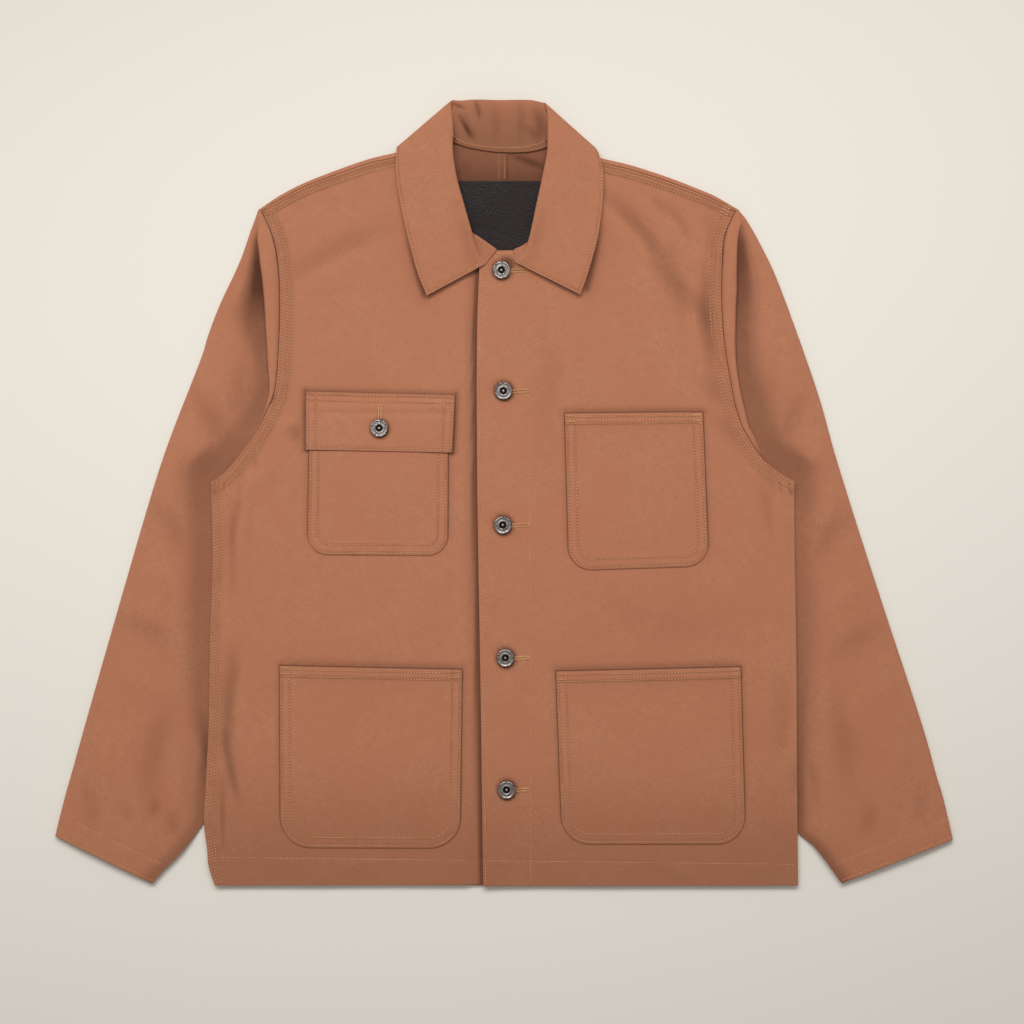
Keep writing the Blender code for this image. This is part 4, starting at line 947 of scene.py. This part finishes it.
def collar():
    """Collar: one band with its stand and fall, stitched close to its free edges."""
    across = np.concatenate([np.linspace(0, 1, 33), 1 + stops(0, (0.9, 19), (1, 8))[1:]])
    ends = np.linspace(0, 0.012, 9)
    along = np.concatenate([ends, np.linspace(0.012, 0.988, 210)[1:-1], 1 - ends[::-1]])
    points = np.array([[collar_point(c, r) for c in across] for r in along])
    over = np.cumsum(np.linalg.norm(np.diff(points, axis=1), axis=2)[:, ::-1], axis=1)[:, ::-1]
    from_outer = np.hstack([over, np.zeros((len(along), 1))])
    run = np.cumsum(np.linalg.norm(np.diff(points, axis=0), axis=2), axis=0)
    from_right = np.vstack([np.zeros((1, len(across))), run])
    free = np.minimum(from_outer, np.minimum(from_right, from_right[-1:] - from_right))
    around = from_right[:, -1:] + 0 * free
    x, y, z = np.moveaxis(points, 2, 0)
    lift = creases(x, y, COLLAR_FOLDS) * np.where(across <= 1.35, 1, smooth((1.9 - across) / 0.5))
    lift += 0.3 * swell(x * 1.7, y * 1.7, 3) - 0.28 * bell(free - COLLAR_ROW, 0.8)
    lift += 0.12 * wander(around * 1.6, 2) * bell(free, 6) + 0.35 * np.sin(around / 23) * bell(free, 18)
    points[..., 2] = np.maximum(z + lift * smooth((z - 2) / 2), COLLAR_CLOTH / 2)
    # Painted shade inside the stand, in the creases, along the stitch row and on the fall beside the roll.
    in_stand = smooth((1.06 - across) / 0.12)
    deep = most(in_stand * mix(0.42, 0.08, np.clip(across, 0, 1)) * smooth((y - 250) / 40), 0.12 * in_stand)
    deep += 1.3 * painted_crease_shade(x, y, COLLAR_FOLDS) * smooth((1.2 - across) / 0.2)
    deep = most(deep, row_shade(free, (COLLAR_ROW,), 0.4) * (across > 1),
                0.16 * bell(across - 1.22, 0.12) * smooth((300 - y) / 60))
    piece = cloth_sheet("collar", points, np.dstack([around - 350, from_outer]), wall=COLLAR_CLOTH, offset=0,
                        deep=np.clip(deep, 0, 1), rim=0.7)
    return piece, points, across, along


def pocket_rows(pocket, straight, count):
    """Distances down a pocket: those of its straight sides, then those round its lower corners."""
    start = depth_of(pocket) - pocket.round
    bend = np.sin(np.radians(np.linspace(0, 90, count)))
    return np.concatenate([straight(start), start + pocket.round * bend])


def depth_of(pocket):
    return math.dist(pocket.top_left, pocket.bottom_left)


def pocket_plan(pocket, t, down):
    """Plan of a patch pocket: the sides draw in round its lower corners."""
    top_left, top_right, low_left, low_right = np.array(pocket[1:5])
    depth = depth_of(pocket)
    into = np.clip(down - (depth - pocket.round), 0, pocket.round) / pocket.round
    draw_in = (pocket.round * (1 - np.sqrt(np.maximum(1 - into ** 2, 0))))[:, None]
    share = (down / depth)[:, None]
    a, b = mix(top_left, low_left, share), mix(top_right, low_right, share)
    return across_rows(*drawn_in(a, b, draw_in, draw_in), t)


def pocket_outline(pocket, gap=0):
    """The sewn edge of a pocket, from its upper left corner down and round to its upper right one."""
    down = pocket_rows(pocket, lambda start: np.linspace(0, start, 12)[:-1], 13)
    plan = pocket_plan(pocket, np.array([0, 1]), down)
    line = np.vstack([plan[:, 0], plan[::-1, 1]])
    return beside(line, gap) if gap else line


POCKET_EDGE = np.array([0, 0.6, 1.3, 2, 2.7, 3.4, 4.4, 6, 7.6, 9, 10, 11, 12.5, 15])
POCKET_TOP = np.array([0, 0.6, 1.4, 2.4, 3.4, 4.6, 6.2, 8, 9.4, 10.4, 11.4, 12.6, 15])
UNDER_FLAP = "chest_pocket_right"


def pockets(pocket):
    """Patch pocket: pressed flat along its stitched edges, a little full inside, with a turned mouth."""
    side = "right" if pocket.top_left[0] < 0 else "left"
    width, depth = math.dist(pocket.top_left, pocket.top_right), depth_of(pocket)
    down = pocket_rows(pocket, lambda start: np.append(
        POCKET_TOP, np.linspace(POCKET_TOP[-1], start, 30)[1:-1]), 22)
    plan = pocket_plan(pocket, between(POCKET_EDGE, POCKET_EDGE, width, 34), down)
    x, y = plan[..., 0], plan[..., 1]
    away, along = near(x, y, pocket_outline(pocket))
    down = down[:, None] + 0 * x
    height = front_height(x, y, side) + SEAM + CLOTH
    height += 1.1 * smooth(away / 34) * smooth((depth - down) / 60) + 0.25 * ledge(away, 11, 1.5)
    for number, row in enumerate(POCKET_ROWS):
        height -= 0.26 * bell(away - row, 0.8) * (1 + 0.4 * wander(along * 2.1, number + width / 50))
    height += 0.14 * wander(along * 1.5, width) * bell(away - 6, 5)
    height += 0.25 * swell(x * 1.3, y * 1.3, width) * smooth(away / 20)
    at_bottom = smooth((down - depth + pocket.round + 8) / (pocket.round + 4))
    height -= mix(0.5, 0.62, at_bottom) * ledge(away, 0, 0.9) + 0.26 * at_bottom * ledge(away, 2, 9)
    # Painted shade along the pocket's sewn edge, its stitch rows and towards the hem.
    deep = most(mix(0.95, 0.15, at_bottom) * ledge(away, 0, 1.5), row_shade(away, POCKET_ROWS), low_shade(y))
    if pocket.name != UNDER_FLAP:
        height += 1.9 * bell(down, 14) * smooth((away - 3) / 16)
        height += 0.45 * ledge(down, MOUTH_ROWS[1], 1.4) - 0.25 * bell(down - MOUTH_ROWS[1], 0.9)
        height -= 0.2 * bell(down - MOUTH_ROWS[0], 0.9)
        # Painted shade in the open mouth and along its rows.
        deep = most(deep, row_shade(down, MOUTH_ROWS, 0.36), 0.95 * ledge(down, 0, 1.6))
    return cloth_sheet(pocket.name, np.dstack([x, y, height]), plan, deep=deep)


FLAP_SIDE = np.array([0, 0.6, 1.3, 2, 2.7, 3.6, 5, 7, 8.6, 9.6, 10.6, 12])
FLAP_DOWN = np.concatenate([[0, 0.7, 1.5, 2.4, 3.2, 4, 5.4, 7, 8.4, 9.4, 10.4], stops(12, (54, 19)),
                            [54.8, 55.4, 56, 56.6]])


def flap():
    """Flap of the right chest pocket, sewn on above the mouth and buttoned over it."""
    width = FLAP_TOP[1][0] - FLAP_TOP[0][0]
    t = between(FLAP_SIDE, FLAP_SIDE, width, 40)
    top, low = [mix(*np.array(line), t[:, None]) for line in (FLAP_TOP, FLAP_BOTTOM)]
    share = FLAP_DOWN[:, None] / FLAP_DOWN[-1]
    down, from_low = share * FLAP_DOWN[-1], (1 - share) * FLAP_DOWN[-1]
    plan = mix(top[None], low[None], share[..., None])
    x, y = plan[..., 0], plan[..., 1]
    over_pocket = smooth((POCKET_MOUTH + 2 + FLAP_RAMP - y) / FLAP_RAMP)
    from_side = np.minimum(t, 1 - t)[None] * width
    for_seam = np.minimum(from_side, down)
    height = front_height(x, y, "right") + (SEAM + CLOTH) * (1 + over_pocket) + 0.5 * over_pocket
    for away, rows in ((from_side, POCKET_ROWS), (down, FLAP_TOP_ROWS), (from_low, (FLAP_LOW_ROW,))):
        for row in rows:
            height -= 0.24 * bell(away - row, 0.8)
    height += 0.5 * smooth(from_side / 22) * smooth(from_low / 16) * over_pocket
    height += 0.45 * over_pocket * bell(from_low, 14) * mix(0.5, 1, np.sin(math.pi * t)[None])
    height -= 0.9 * bell(np.hypot(x - FLAP_BUTTON[0], y - FLAP_BUTTON[1]), 8)
    height += 0.12 * wander(x * 1.6, 1) * bell(down - 6, 6)
    height -= 0.4 * ledge(for_seam, 0, 0.9) * (1 - 0.7 * over_pocket)
    # Painted shade along the flap's edges, its stitch rows and round its button.
    deep = most(np.where(from_low < for_seam, 0.3, 0.95) * ledge(np.minimum(for_seam, from_low), 0, 1.4),
                row_shade(from_side, POCKET_ROWS, 0.36),
                row_shade(down, FLAP_TOP_ROWS, 0.36) + row_shade(from_low, (FLAP_LOW_ROW,), 0.36),
                round_shade(x, y, (FLAP_BUTTON[0] + 0.8, FLAP_BUTTON[1]), 7, 0.85, 2.8))
    return cloth_sheet("chest_flap", np.dstack([x, y, height]), plan, deep=deep)


def patch():
    """Leather patch inside the back neck, with eased corners and a soft drape."""
    t = stops(0, (0.06, 5), (0.94, 29), (1, 5))
    x, y = np.meshgrid(mix(*PATCH_X, t), mix(*PATCH_Y, t))
    middle_x, middle_y = np.mean(PATCH_X), np.mean(PATCH_Y)
    half, reach = (PATCH_X[1] - PATCH_X[0]) / 2, (PATCH_Y[1] - PATCH_Y[0]) / 2
    into = np.clip((np.abs(y - middle_y) - (reach - PATCH_CORNER)) / PATCH_CORNER, 0, 1)
    draw_in = PATCH_CORNER * (1 - np.sqrt(1 - into ** 2))
    x = middle_x + (x - middle_x) * (half - draw_in) / half
    beneath = np.where(x < CENTRE_BACK, back_height(x, y, "right"), back_height(x, y, "left"))
    height = beneath + CLOTH + PATCH_GAP + LEATHER + 0.35 * swell(x * 1.6, y * 1.6, 9) + 0.5
    height += 0.5 * bell(y - PATCH_Y[1], 5) * smooth(np.sin(x / 14) + 0.4)
    return cloth_sheet("neck_patch", np.dstack([x, y, height]), np.dstack([x, y]), wall=LEATHER,
                       material=PATCH_LEATHER, rim=0.45)


# ---------------------------------------------------------------- cloth pieces
def tree_of(*names):
    graph = bpy.context.evaluated_depsgraph_get()
    return [BVHTree.FromObject(CLOTH_PIECES[name], graph) for name in names]


CLOTH_PIECES = {}
for side in SIDES:
    CLOTH_PIECES["back_" + side] = backs(side)
    CLOTH_PIECES["sleeve_" + side] = sleeves(side)
    CLOTH_PIECES["front_" + side] = fronts(side)
CLOTH_PIECES["collar"], COLLAR_POINTS, COLLAR_ACROSS, COLLAR_ALONG = collar()
CLOTH_PIECES["neck_patch"] = patch()
for pocket in POCKETS:
    CLOTH_PIECES[pocket.name] = pockets(pocket)
CLOTH_PIECES["chest_flap"] = flap()
bpy.context.view_layer.update()


# ---------------------------------------------------------------- stitches
def joined_copies(name, places, material=THREAD):
    """One mesh of many stitches, one for each matrix."""
    count = len(STITCH.vertices)
    base = np.empty(count * 3)
    STITCH.vertices.foreach_get("co", base)
    base = np.column_stack([base.reshape(-1, 3), np.ones(count)])
    turned = np.einsum("nij,vj->nvi", np.array(places)[:, :3, :], base)
    faces = [tuple(face.vertices) for face in STITCH.polygons]
    mesh = bpy.data.meshes.new(name)
    mesh.from_pydata(turned.reshape(-1, 3), [], [tuple(v + count * n for v in face)
                                                 for n in range(len(places)) for face in faces])
    return new_piece(name, mesh, material)


def stitch_shape():
    """One stitch: a short round of thread, thinner at its ends, one metre long and thick."""
    ball = bmesh.new()
    bmesh.ops.create_uvsphere(ball, u_segments=6, v_segments=6, radius=0.5)
    bmesh.ops.rotate(ball, verts=ball.verts, matrix=Matrix.Rotation(math.radians(90), 3, "Y"))
    for vert in ball.verts:
        vert.co.x = math.copysign(abs(vert.co.x * 2) ** 1.25 / 2, vert.co.x)
    mesh = bpy.data.meshes.new("stitch")
    ball.to_mesh(mesh)
    ball.free()
    return mesh


STITCH = stitch_shape()
HIGH = 60  # rays are cast down from here, above every piece


def drop(trees, x, y):
    """Highest point of the pieces under a place, and the slope there."""
    best, slope = None, Vector((0, 0, 1))
    for tree in trees:
        hit, normal, index, distance = tree.ray_cast(Vector((x, y, HIGH)) * MM, Vector((0, 0, -1)))
        if hit and (best is None or hit.z > best.z):
            best, slope = hit, normal
    return best, slope


def lay_stitch(a, b, slope, thick, tall, sink):
    """Matrix of a stitch from one point to another, in metres."""
    run = b - a
    size = run.length
    run.normalize()
    across = slope.cross(run).normalized()
    up = run.cross(across).normalized()
    turn = Matrix((run * size, across * thick * MM, up * tall * MM)).transposed().to_4x4()
    return Matrix.Translation((a + b) / 2 + up * (0.5 * tall - sink) * MM) @ turn


def stitches(trees, *lines, pitch=3.1, length=2.2, thick=1.05, tall=0.8, sink=0.16):
    """Stitches along lines in plan, lying on the cloth below them."""
    made = []
    for line in lines:
        line = np.asarray(line, float)
        at, total = by_length(line), lengths(line)[-1]
        for start in np.arange(0.3 * pitch, total - length, pitch):
            (a, slope), (b, slope) = [drop(trees, *at(place / total)) for place in (start, start + length)]
            if a and b and (a - b).length < 1.6 * length * MM:
                made.append(lay_stitch(a, b, slope, thick, tall, sink))
    return made


def zigzag(line, reach, pitch):
    """A line that swings to and fro across another."""
    line = np.asarray(line, float)
    count = max(3, int(lengths(line)[-1] / pitch))
    centre = by_length(line)(np.linspace(0, 1, count))
    return centre + np.where(np.arange(count) % 2 == 0, reach, -reach)[:, None] * leftward(centre)


def dense(trees, line, thick=0.7, tall=0.8, sink=0.1):
    """Thread laid from each point of a line to the next."""
    made = []
    for a, b in zip(line, line[1:]):
        (first, slope), (second, slope) = drop(trees, *a), drop(trees, *b)
        if first and second:
            made.append(lay_stitch(first, second, slope, thick, tall, sink))
    return made


def bartack(trees, a, b, width=1.5):
    """Short bar of close zigzag stitches that holds a pocket's corner."""
    return dense(trees, zigzag([a, b], width / 2, 0.45), 0.6, 0.9)


EDGE_THREAD = {"thick": 0.95}
POCKET_PITCH = {"pitch": 3, "length": 2.15}
COLLAR_PITCH = {"pitch": 3, "length": 2.2, "thick": 1}
CUFF_PITCH = {"pitch": 3, "length": 2.2, "thick": 0.95}
OUTER_SEEN = 8.6 / 26  # part of the way round where the collar's outer edge lies on a front
LIP_PITCH = 0.75


def front_stitches(side):
    """Rows on a front along its armhole, shoulder, side, hem and edge."""
    trees = tree_of("front_" + side)
    way = -1 if side == "right" else 1
    made = stitches(trees, *[beside(ARM_LINE[side], way * row) for row in ARM_ROWS])
    shoulders = [by_length(beside(SHOULDER_LINE[side], way * row)) for row in SHOULDER_ROWS]
    made += stitches(trees, *[run(np.linspace(0.02, 1, 40)) for run in shoulders])
    if side == "right":
        made += stitches(trees, *[beside(SIDE_LINE[side], -row) for row in SIDE_ROWS], pitch=2.9, length=2.1)
    across = np.linspace(-276, -26, 60) if side == "right" else np.linspace(-18, 281, 70)
    made += stitches(trees, np.column_stack([across, hem_row(across)]), **EDGE_THREAD)
    if side == "left":
        made += stitches(trees, beside(through(FRONT_EDGE["left"], 12), -3), **EDGE_THREAD)
        facing = through([(FACING_X + 0.6, -374), (FACING_X, -100), (FACING_X - 0.4, 200)])
        made += stitches(trees, facing, thick=0.55, tall=0.45)
        made += stitches(trees, [(-20, 231.8), (8, 231.8)])
    return made


def pocket_stitches(pocket):
    """Two rows round a pocket, two across its turned mouth, and a bar at each upper corner."""
    trees = tree_of(pocket.name)
    made = stitches(trees, *[pocket_outline(pocket, row) for row in POCKET_ROWS], **POCKET_PITCH)
    if pocket.name == UNDER_FLAP:
        return made
    a, b = np.array(pocket.top_left), np.array(pocket.top_right)
    made += stitches(trees, *[[a + (2.5, -row), b + (-2.5, -row)] for row in MOUTH_ROWS], **POCKET_PITCH)
    for corner, way in ((a, 1), (b, -1)):
        for row in (3.2, 8.6):
            made += bartack(trees, corner + (way * 3, -row), corner + (way * 11, -row))
    return made


def flap_stitches():
    """Rows on the flap and the bars beside its pen slot."""
    trees = tree_of("chest_flap")
    a, b, low_a, low_b = np.array([*FLAP_TOP, *FLAP_BOTTOM])
    slot_start, slot_end = -105, -74
    lines = [[high + (way * row, -2), low + (way * row, 3)]
             for row in POCKET_ROWS for high, low, way in ((a, low_a, 1), (b, low_b, -1))]
    lines += [[a + (10, -row), (slot_start, 97.6 - row)] for row in FLAP_TOP_ROWS]
    lines += [[(slot_end + 8, 87.6), b + (-10, -9.4)],
              [low_a + (3, FLAP_LOW_ROW), low_b + (-3, FLAP_LOW_ROW)]]
    made = stitches(trees, *lines, **POCKET_PITCH)
    for x in (slot_start, slot_end):
        made += bartack(trees, (x, 96), (x, 87), 1.8)
    return made + bartack(trees, (slot_end + 1, 88.4), (slot_end + 8, 88.4), 1.6)


def neck_stitches():
    """The sewn neck seam inside the collar, and the rows beside the centre back seam."""
    trees = tree_of("back_right", "back_left", "collar")
    seam = through([(-50, 345.2), (-40, 339.2), (-22, 335.1), (-4.8, 333.5), (16, 333.9), (31, 336.6),
                    (42, 341.6)])
    made = dense(trees, zigzag(seam, 1.2, 1.9), 0.85, 1)
    rows = [[(x, 328), (x, 302.5)] for x in (-5, 0.4)]
    return made + stitches(trees, *rows, pitch=2.6, length=1.9, thick=0.8)


def collar_stitches():
    """One row close to the collar's outer and front edges."""
    outer = COLLAR_POINTS[:, -1, :2]
    ends = [beside(COLLAR_POINTS[end, COLLAR_ACROSS >= 0.75, :2], gap)
            for end, gap in ((0, -COLLAR_ROW), (-1, COLLAR_ROW))]
    sides = [beside(outer[COLLAR_ALONG < OUTER_SEEN], -COLLAR_ROW)[1:],
             beside(outer[COLLAR_ALONG > 1 - OUTER_SEEN], -COLLAR_ROW)[:-1]]
    return stitches(tree_of("collar"), *sides, *ends, **COLLAR_PITCH)


def cuff_stitches(side):
    """The turned hem of a sleeve and the row at its very edge."""
    cuff = [SLEEVE_INNER[side][-1], SLEEVE_OUTER[side][-1]][::-1 if side == "left" else 1]
    rows = [by_length(beside(cuff, -row))(np.linspace(0, 1, 30)) for row in (3, CUFF_ROW)]
    return stitches(tree_of("sleeve_" + side), *rows, **CUFF_PITCH)


def buttonhole_stitches(trees, start, end):
    """Close stitches over both lips of a buttonhole and round its far end."""
    start, end = np.array(start), np.array(end)
    size = np.linalg.norm(end - start)
    run = (end - start) / size
    side = np.array((-run[1], run[0]))
    made = []
    for sign in (1, -1):
        for i in range(int(size / LIP_PITCH)):
            middle = start + run * (i + 0.5) * LIP_PITCH
            reach = 2.1 + 0.45 * math.sin(i * 2.4 + sign)
            made += dense(trees, [middle + side * sign * 0.2, middle + side * sign * reach], 0.85, 1)
    return made + dense(trees, [end + side * 1.9, end - side * 1.9], 1, 1)


# ---------------------------------------------------------------- buttons
ButtonPoint = namedtuple("ButtonPoint", "radius height deep")
BUTTON_CAP = [ButtonPoint(*row) for row in (
    (0, 2.75, 0), (0.8, 2.65, 0), (1.35, 2.25, 0.3), (1.7, 1.5, 1), (2.1, 1.2, 1), (2.7, 1.25, 1),
    (3.1, 1.7, 0.9), (3.35, 2.3, 0.2), (3.8, 2.62, 0), (4.4, 2.66, 0.1), (4.8, 2.5, 0.55),
    (5.6, 2.46, 0.5), (6.5, 2.46, 0.45), (6.9, 2.55, 0.3), (7.3, 2.85, 0), (7.9, 2.85, 0), (8.4, 2.45, 0),
    (8.6, 1.8, 0.1), (8.5, 1, 0.4), (8, 0.35, 0.8), (7.2, 0, 1), (2.2, 0, 1), (2.2, -1.6, 1), (0, -1.6, 1),
)]
BUTTON_STEPS = 64


def tack_button(name, at, trees, gap, lean):
    """Pressed tack button: rolled rim, sunk band, raised eye with a nub in its dish, and its shank."""
    turned = bmesh.new()
    depth = turned.verts.layers.float.new("deep")
    verts = []
    for point in BUTTON_CAP:
        verts.append(turned.verts.new((point.radius * MM, 0, point.height * MM)))
        verts[-1][depth] = point.deep
    edges = [turned.edges.new(pair) for pair in zip(verts, verts[1:])]
    bmesh.ops.spin(turned, geom=verts + edges, cent=(0, 0, 0), axis=(0, 0, 1), angle=math.radians(360),
                   steps=BUTTON_STEPS, use_merge=True)
    bmesh.ops.remove_doubles(turned, verts=turned.verts, dist=0.00001)
    bmesh.ops.recalc_face_normals(turned, faces=turned.faces)
    place = Matrix.Translation(drop(trees, *at)[0] + Vector((0, 0, gap * MM)))
    tilt = Matrix.Rotation(math.radians(lean), 4, "X") @ Matrix.Rotation(math.radians(lean * 0.7), 4, "Y")
    bmesh.ops.transform(turned, matrix=place @ tilt, verts=turned.verts)
    mesh = bpy.data.meshes.new(name)
    turned.to_mesh(mesh)
    turned.free()
    return new_piece(name, mesh, METAL)


# ---------------------------------------------------------------- putting it together
TRIM = {}
for side in SIDES:
    TRIM["front_" + side] = joined_copies("front_stitches_" + side, front_stitches(side))
    TRIM["sleeve_" + side] = joined_copies("cuff_stitches_" + side, cuff_stitches(side))
for pocket in POCKETS:
    TRIM[pocket.name] = joined_copies(pocket.name + "_stitches", pocket_stitches(pocket))
TRIM["chest_flap"] = joined_copies("flap_stitches", flap_stitches())
TRIM["collar"] = joined_copies("collar_stitches", collar_stitches())
TRIM["back_right"] = joined_copies("neck_stitches", neck_stitches(), NECK_THREAD)

FRONT_TREES = tree_of("front_left")
FLAP_TREES = tree_of("chest_flap")
HOLES = [(FRONT_TREES, *buttonhole_line(button), (2.5, 0), (3.2, 0)) for button in BUTTONS]
flap_hole = [np.array(FLAP_BUTTON) + (0.5, up) for up in (7, 23)]
HOLES.append((FLAP_TREES, *flap_hole, (0, 2), (0, 4)))
holes, slit_shades = [], []
for trees, start, end, thread_from, slit_to in HOLES:
    holes += buttonhole_stitches(trees, start + thread_from, end)
    # A dark strand along each slit, in the near-black leather: painted shade in the opening.
    slit_shades += dense(trees, [start, start + slit_to], 1, 0.6, 0.2)
BUTTONHOLES = joined_copies("buttonhole_stitches", holes, LOOP_THREAD)
# The dark strands in the buttonhole slits: painted shade.
SLIT_SHADES = joined_copies("buttonhole_slits", slit_shades, PATCH_LEATHER)

BUTTON_PIECES = {
    f"button_{number}": tack_button(f"tack_button_{number}", button, FRONT_TREES, 1.5, 2 - number * 0.9)
    for number, button in enumerate(BUTTONS, start=1)}
BUTTON_PIECES["flap_button"] = tack_button("flap_tack_button", FLAP_BUTTON, FLAP_TREES, 1.4, -1.5)

Cut = namedtuple("Cut", "width length share held rests_on")
for name, piece in CLOTH_PIECES.items():
    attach(piece, "root")
    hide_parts(name)
for piece in [*TRIM.values(), BUTTONHOLES, SLIT_SHADES]:
    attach(piece, "root")
for name, piece in BUTTON_PIECES.items():
    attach(piece, "root")
    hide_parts(name)


# ---------------------------------------------------------------- floor, lights and camera
def studio():
    """Pale floor, one broad soft light from the collar's side and a weaker one to fill."""
    bpy.ops.mesh.primitive_plane_add(size=8, location=(0, 0, 0))
    floor = bpy.context.object
    floor.name = "studio_floor"
    paper, tree, shader = finish("seamless_paper")
    wire(tree, shader, {"Base Color": linear("#e9e4da"), "Roughness": 0.9})
    floor.data.materials.append(paper)
    scene = bpy.context.scene
    scene.world = bpy.data.worlds.new("studio_air")
    scene.world.use_nodes = True
    air = scene.world.node_tree
    wire(air, air.nodes["Background"], {"Color": linear("#f4f2ee"), "Strength": 0.38})
    for name, place, aim, width, depth, beam, power in (
            ("key_softbox", (-0.2, 1.1, 1.7), (0, -0.04, 0), 2.5, 0.8, 80, 9.6),
            ("top_softbox", (0, 0.4, 2.1), (0, 0.12, 0), 2.4, 0.7, 70, 0.9)):
        light = bpy.data.lights.new(name, "AREA")
        light.shape = "RECTANGLE"
        light.size = width
        light.size_y = depth
        light.spread = math.radians(beam)
        light.energy = power
        lamp = bpy.data.objects.new(name, light)
        lamp.location = place
        lamp.rotation_mode = "QUATERNION"
        lamp.rotation_quaternion = (Vector(aim) - Vector(place)).to_track_quat("-Z", "Y")
        scene.collection.objects.link(lamp)
    camera = bpy.data.objects.new("camera", bpy.data.cameras.new("camera"))
    camera.location = (0.0077, -0.0174, 2.2)
    camera.data.lens = 80
    scene.collection.objects.link(camera)
    scene.camera = camera
    scene.view_settings.view_transform = "Standard"


studio()
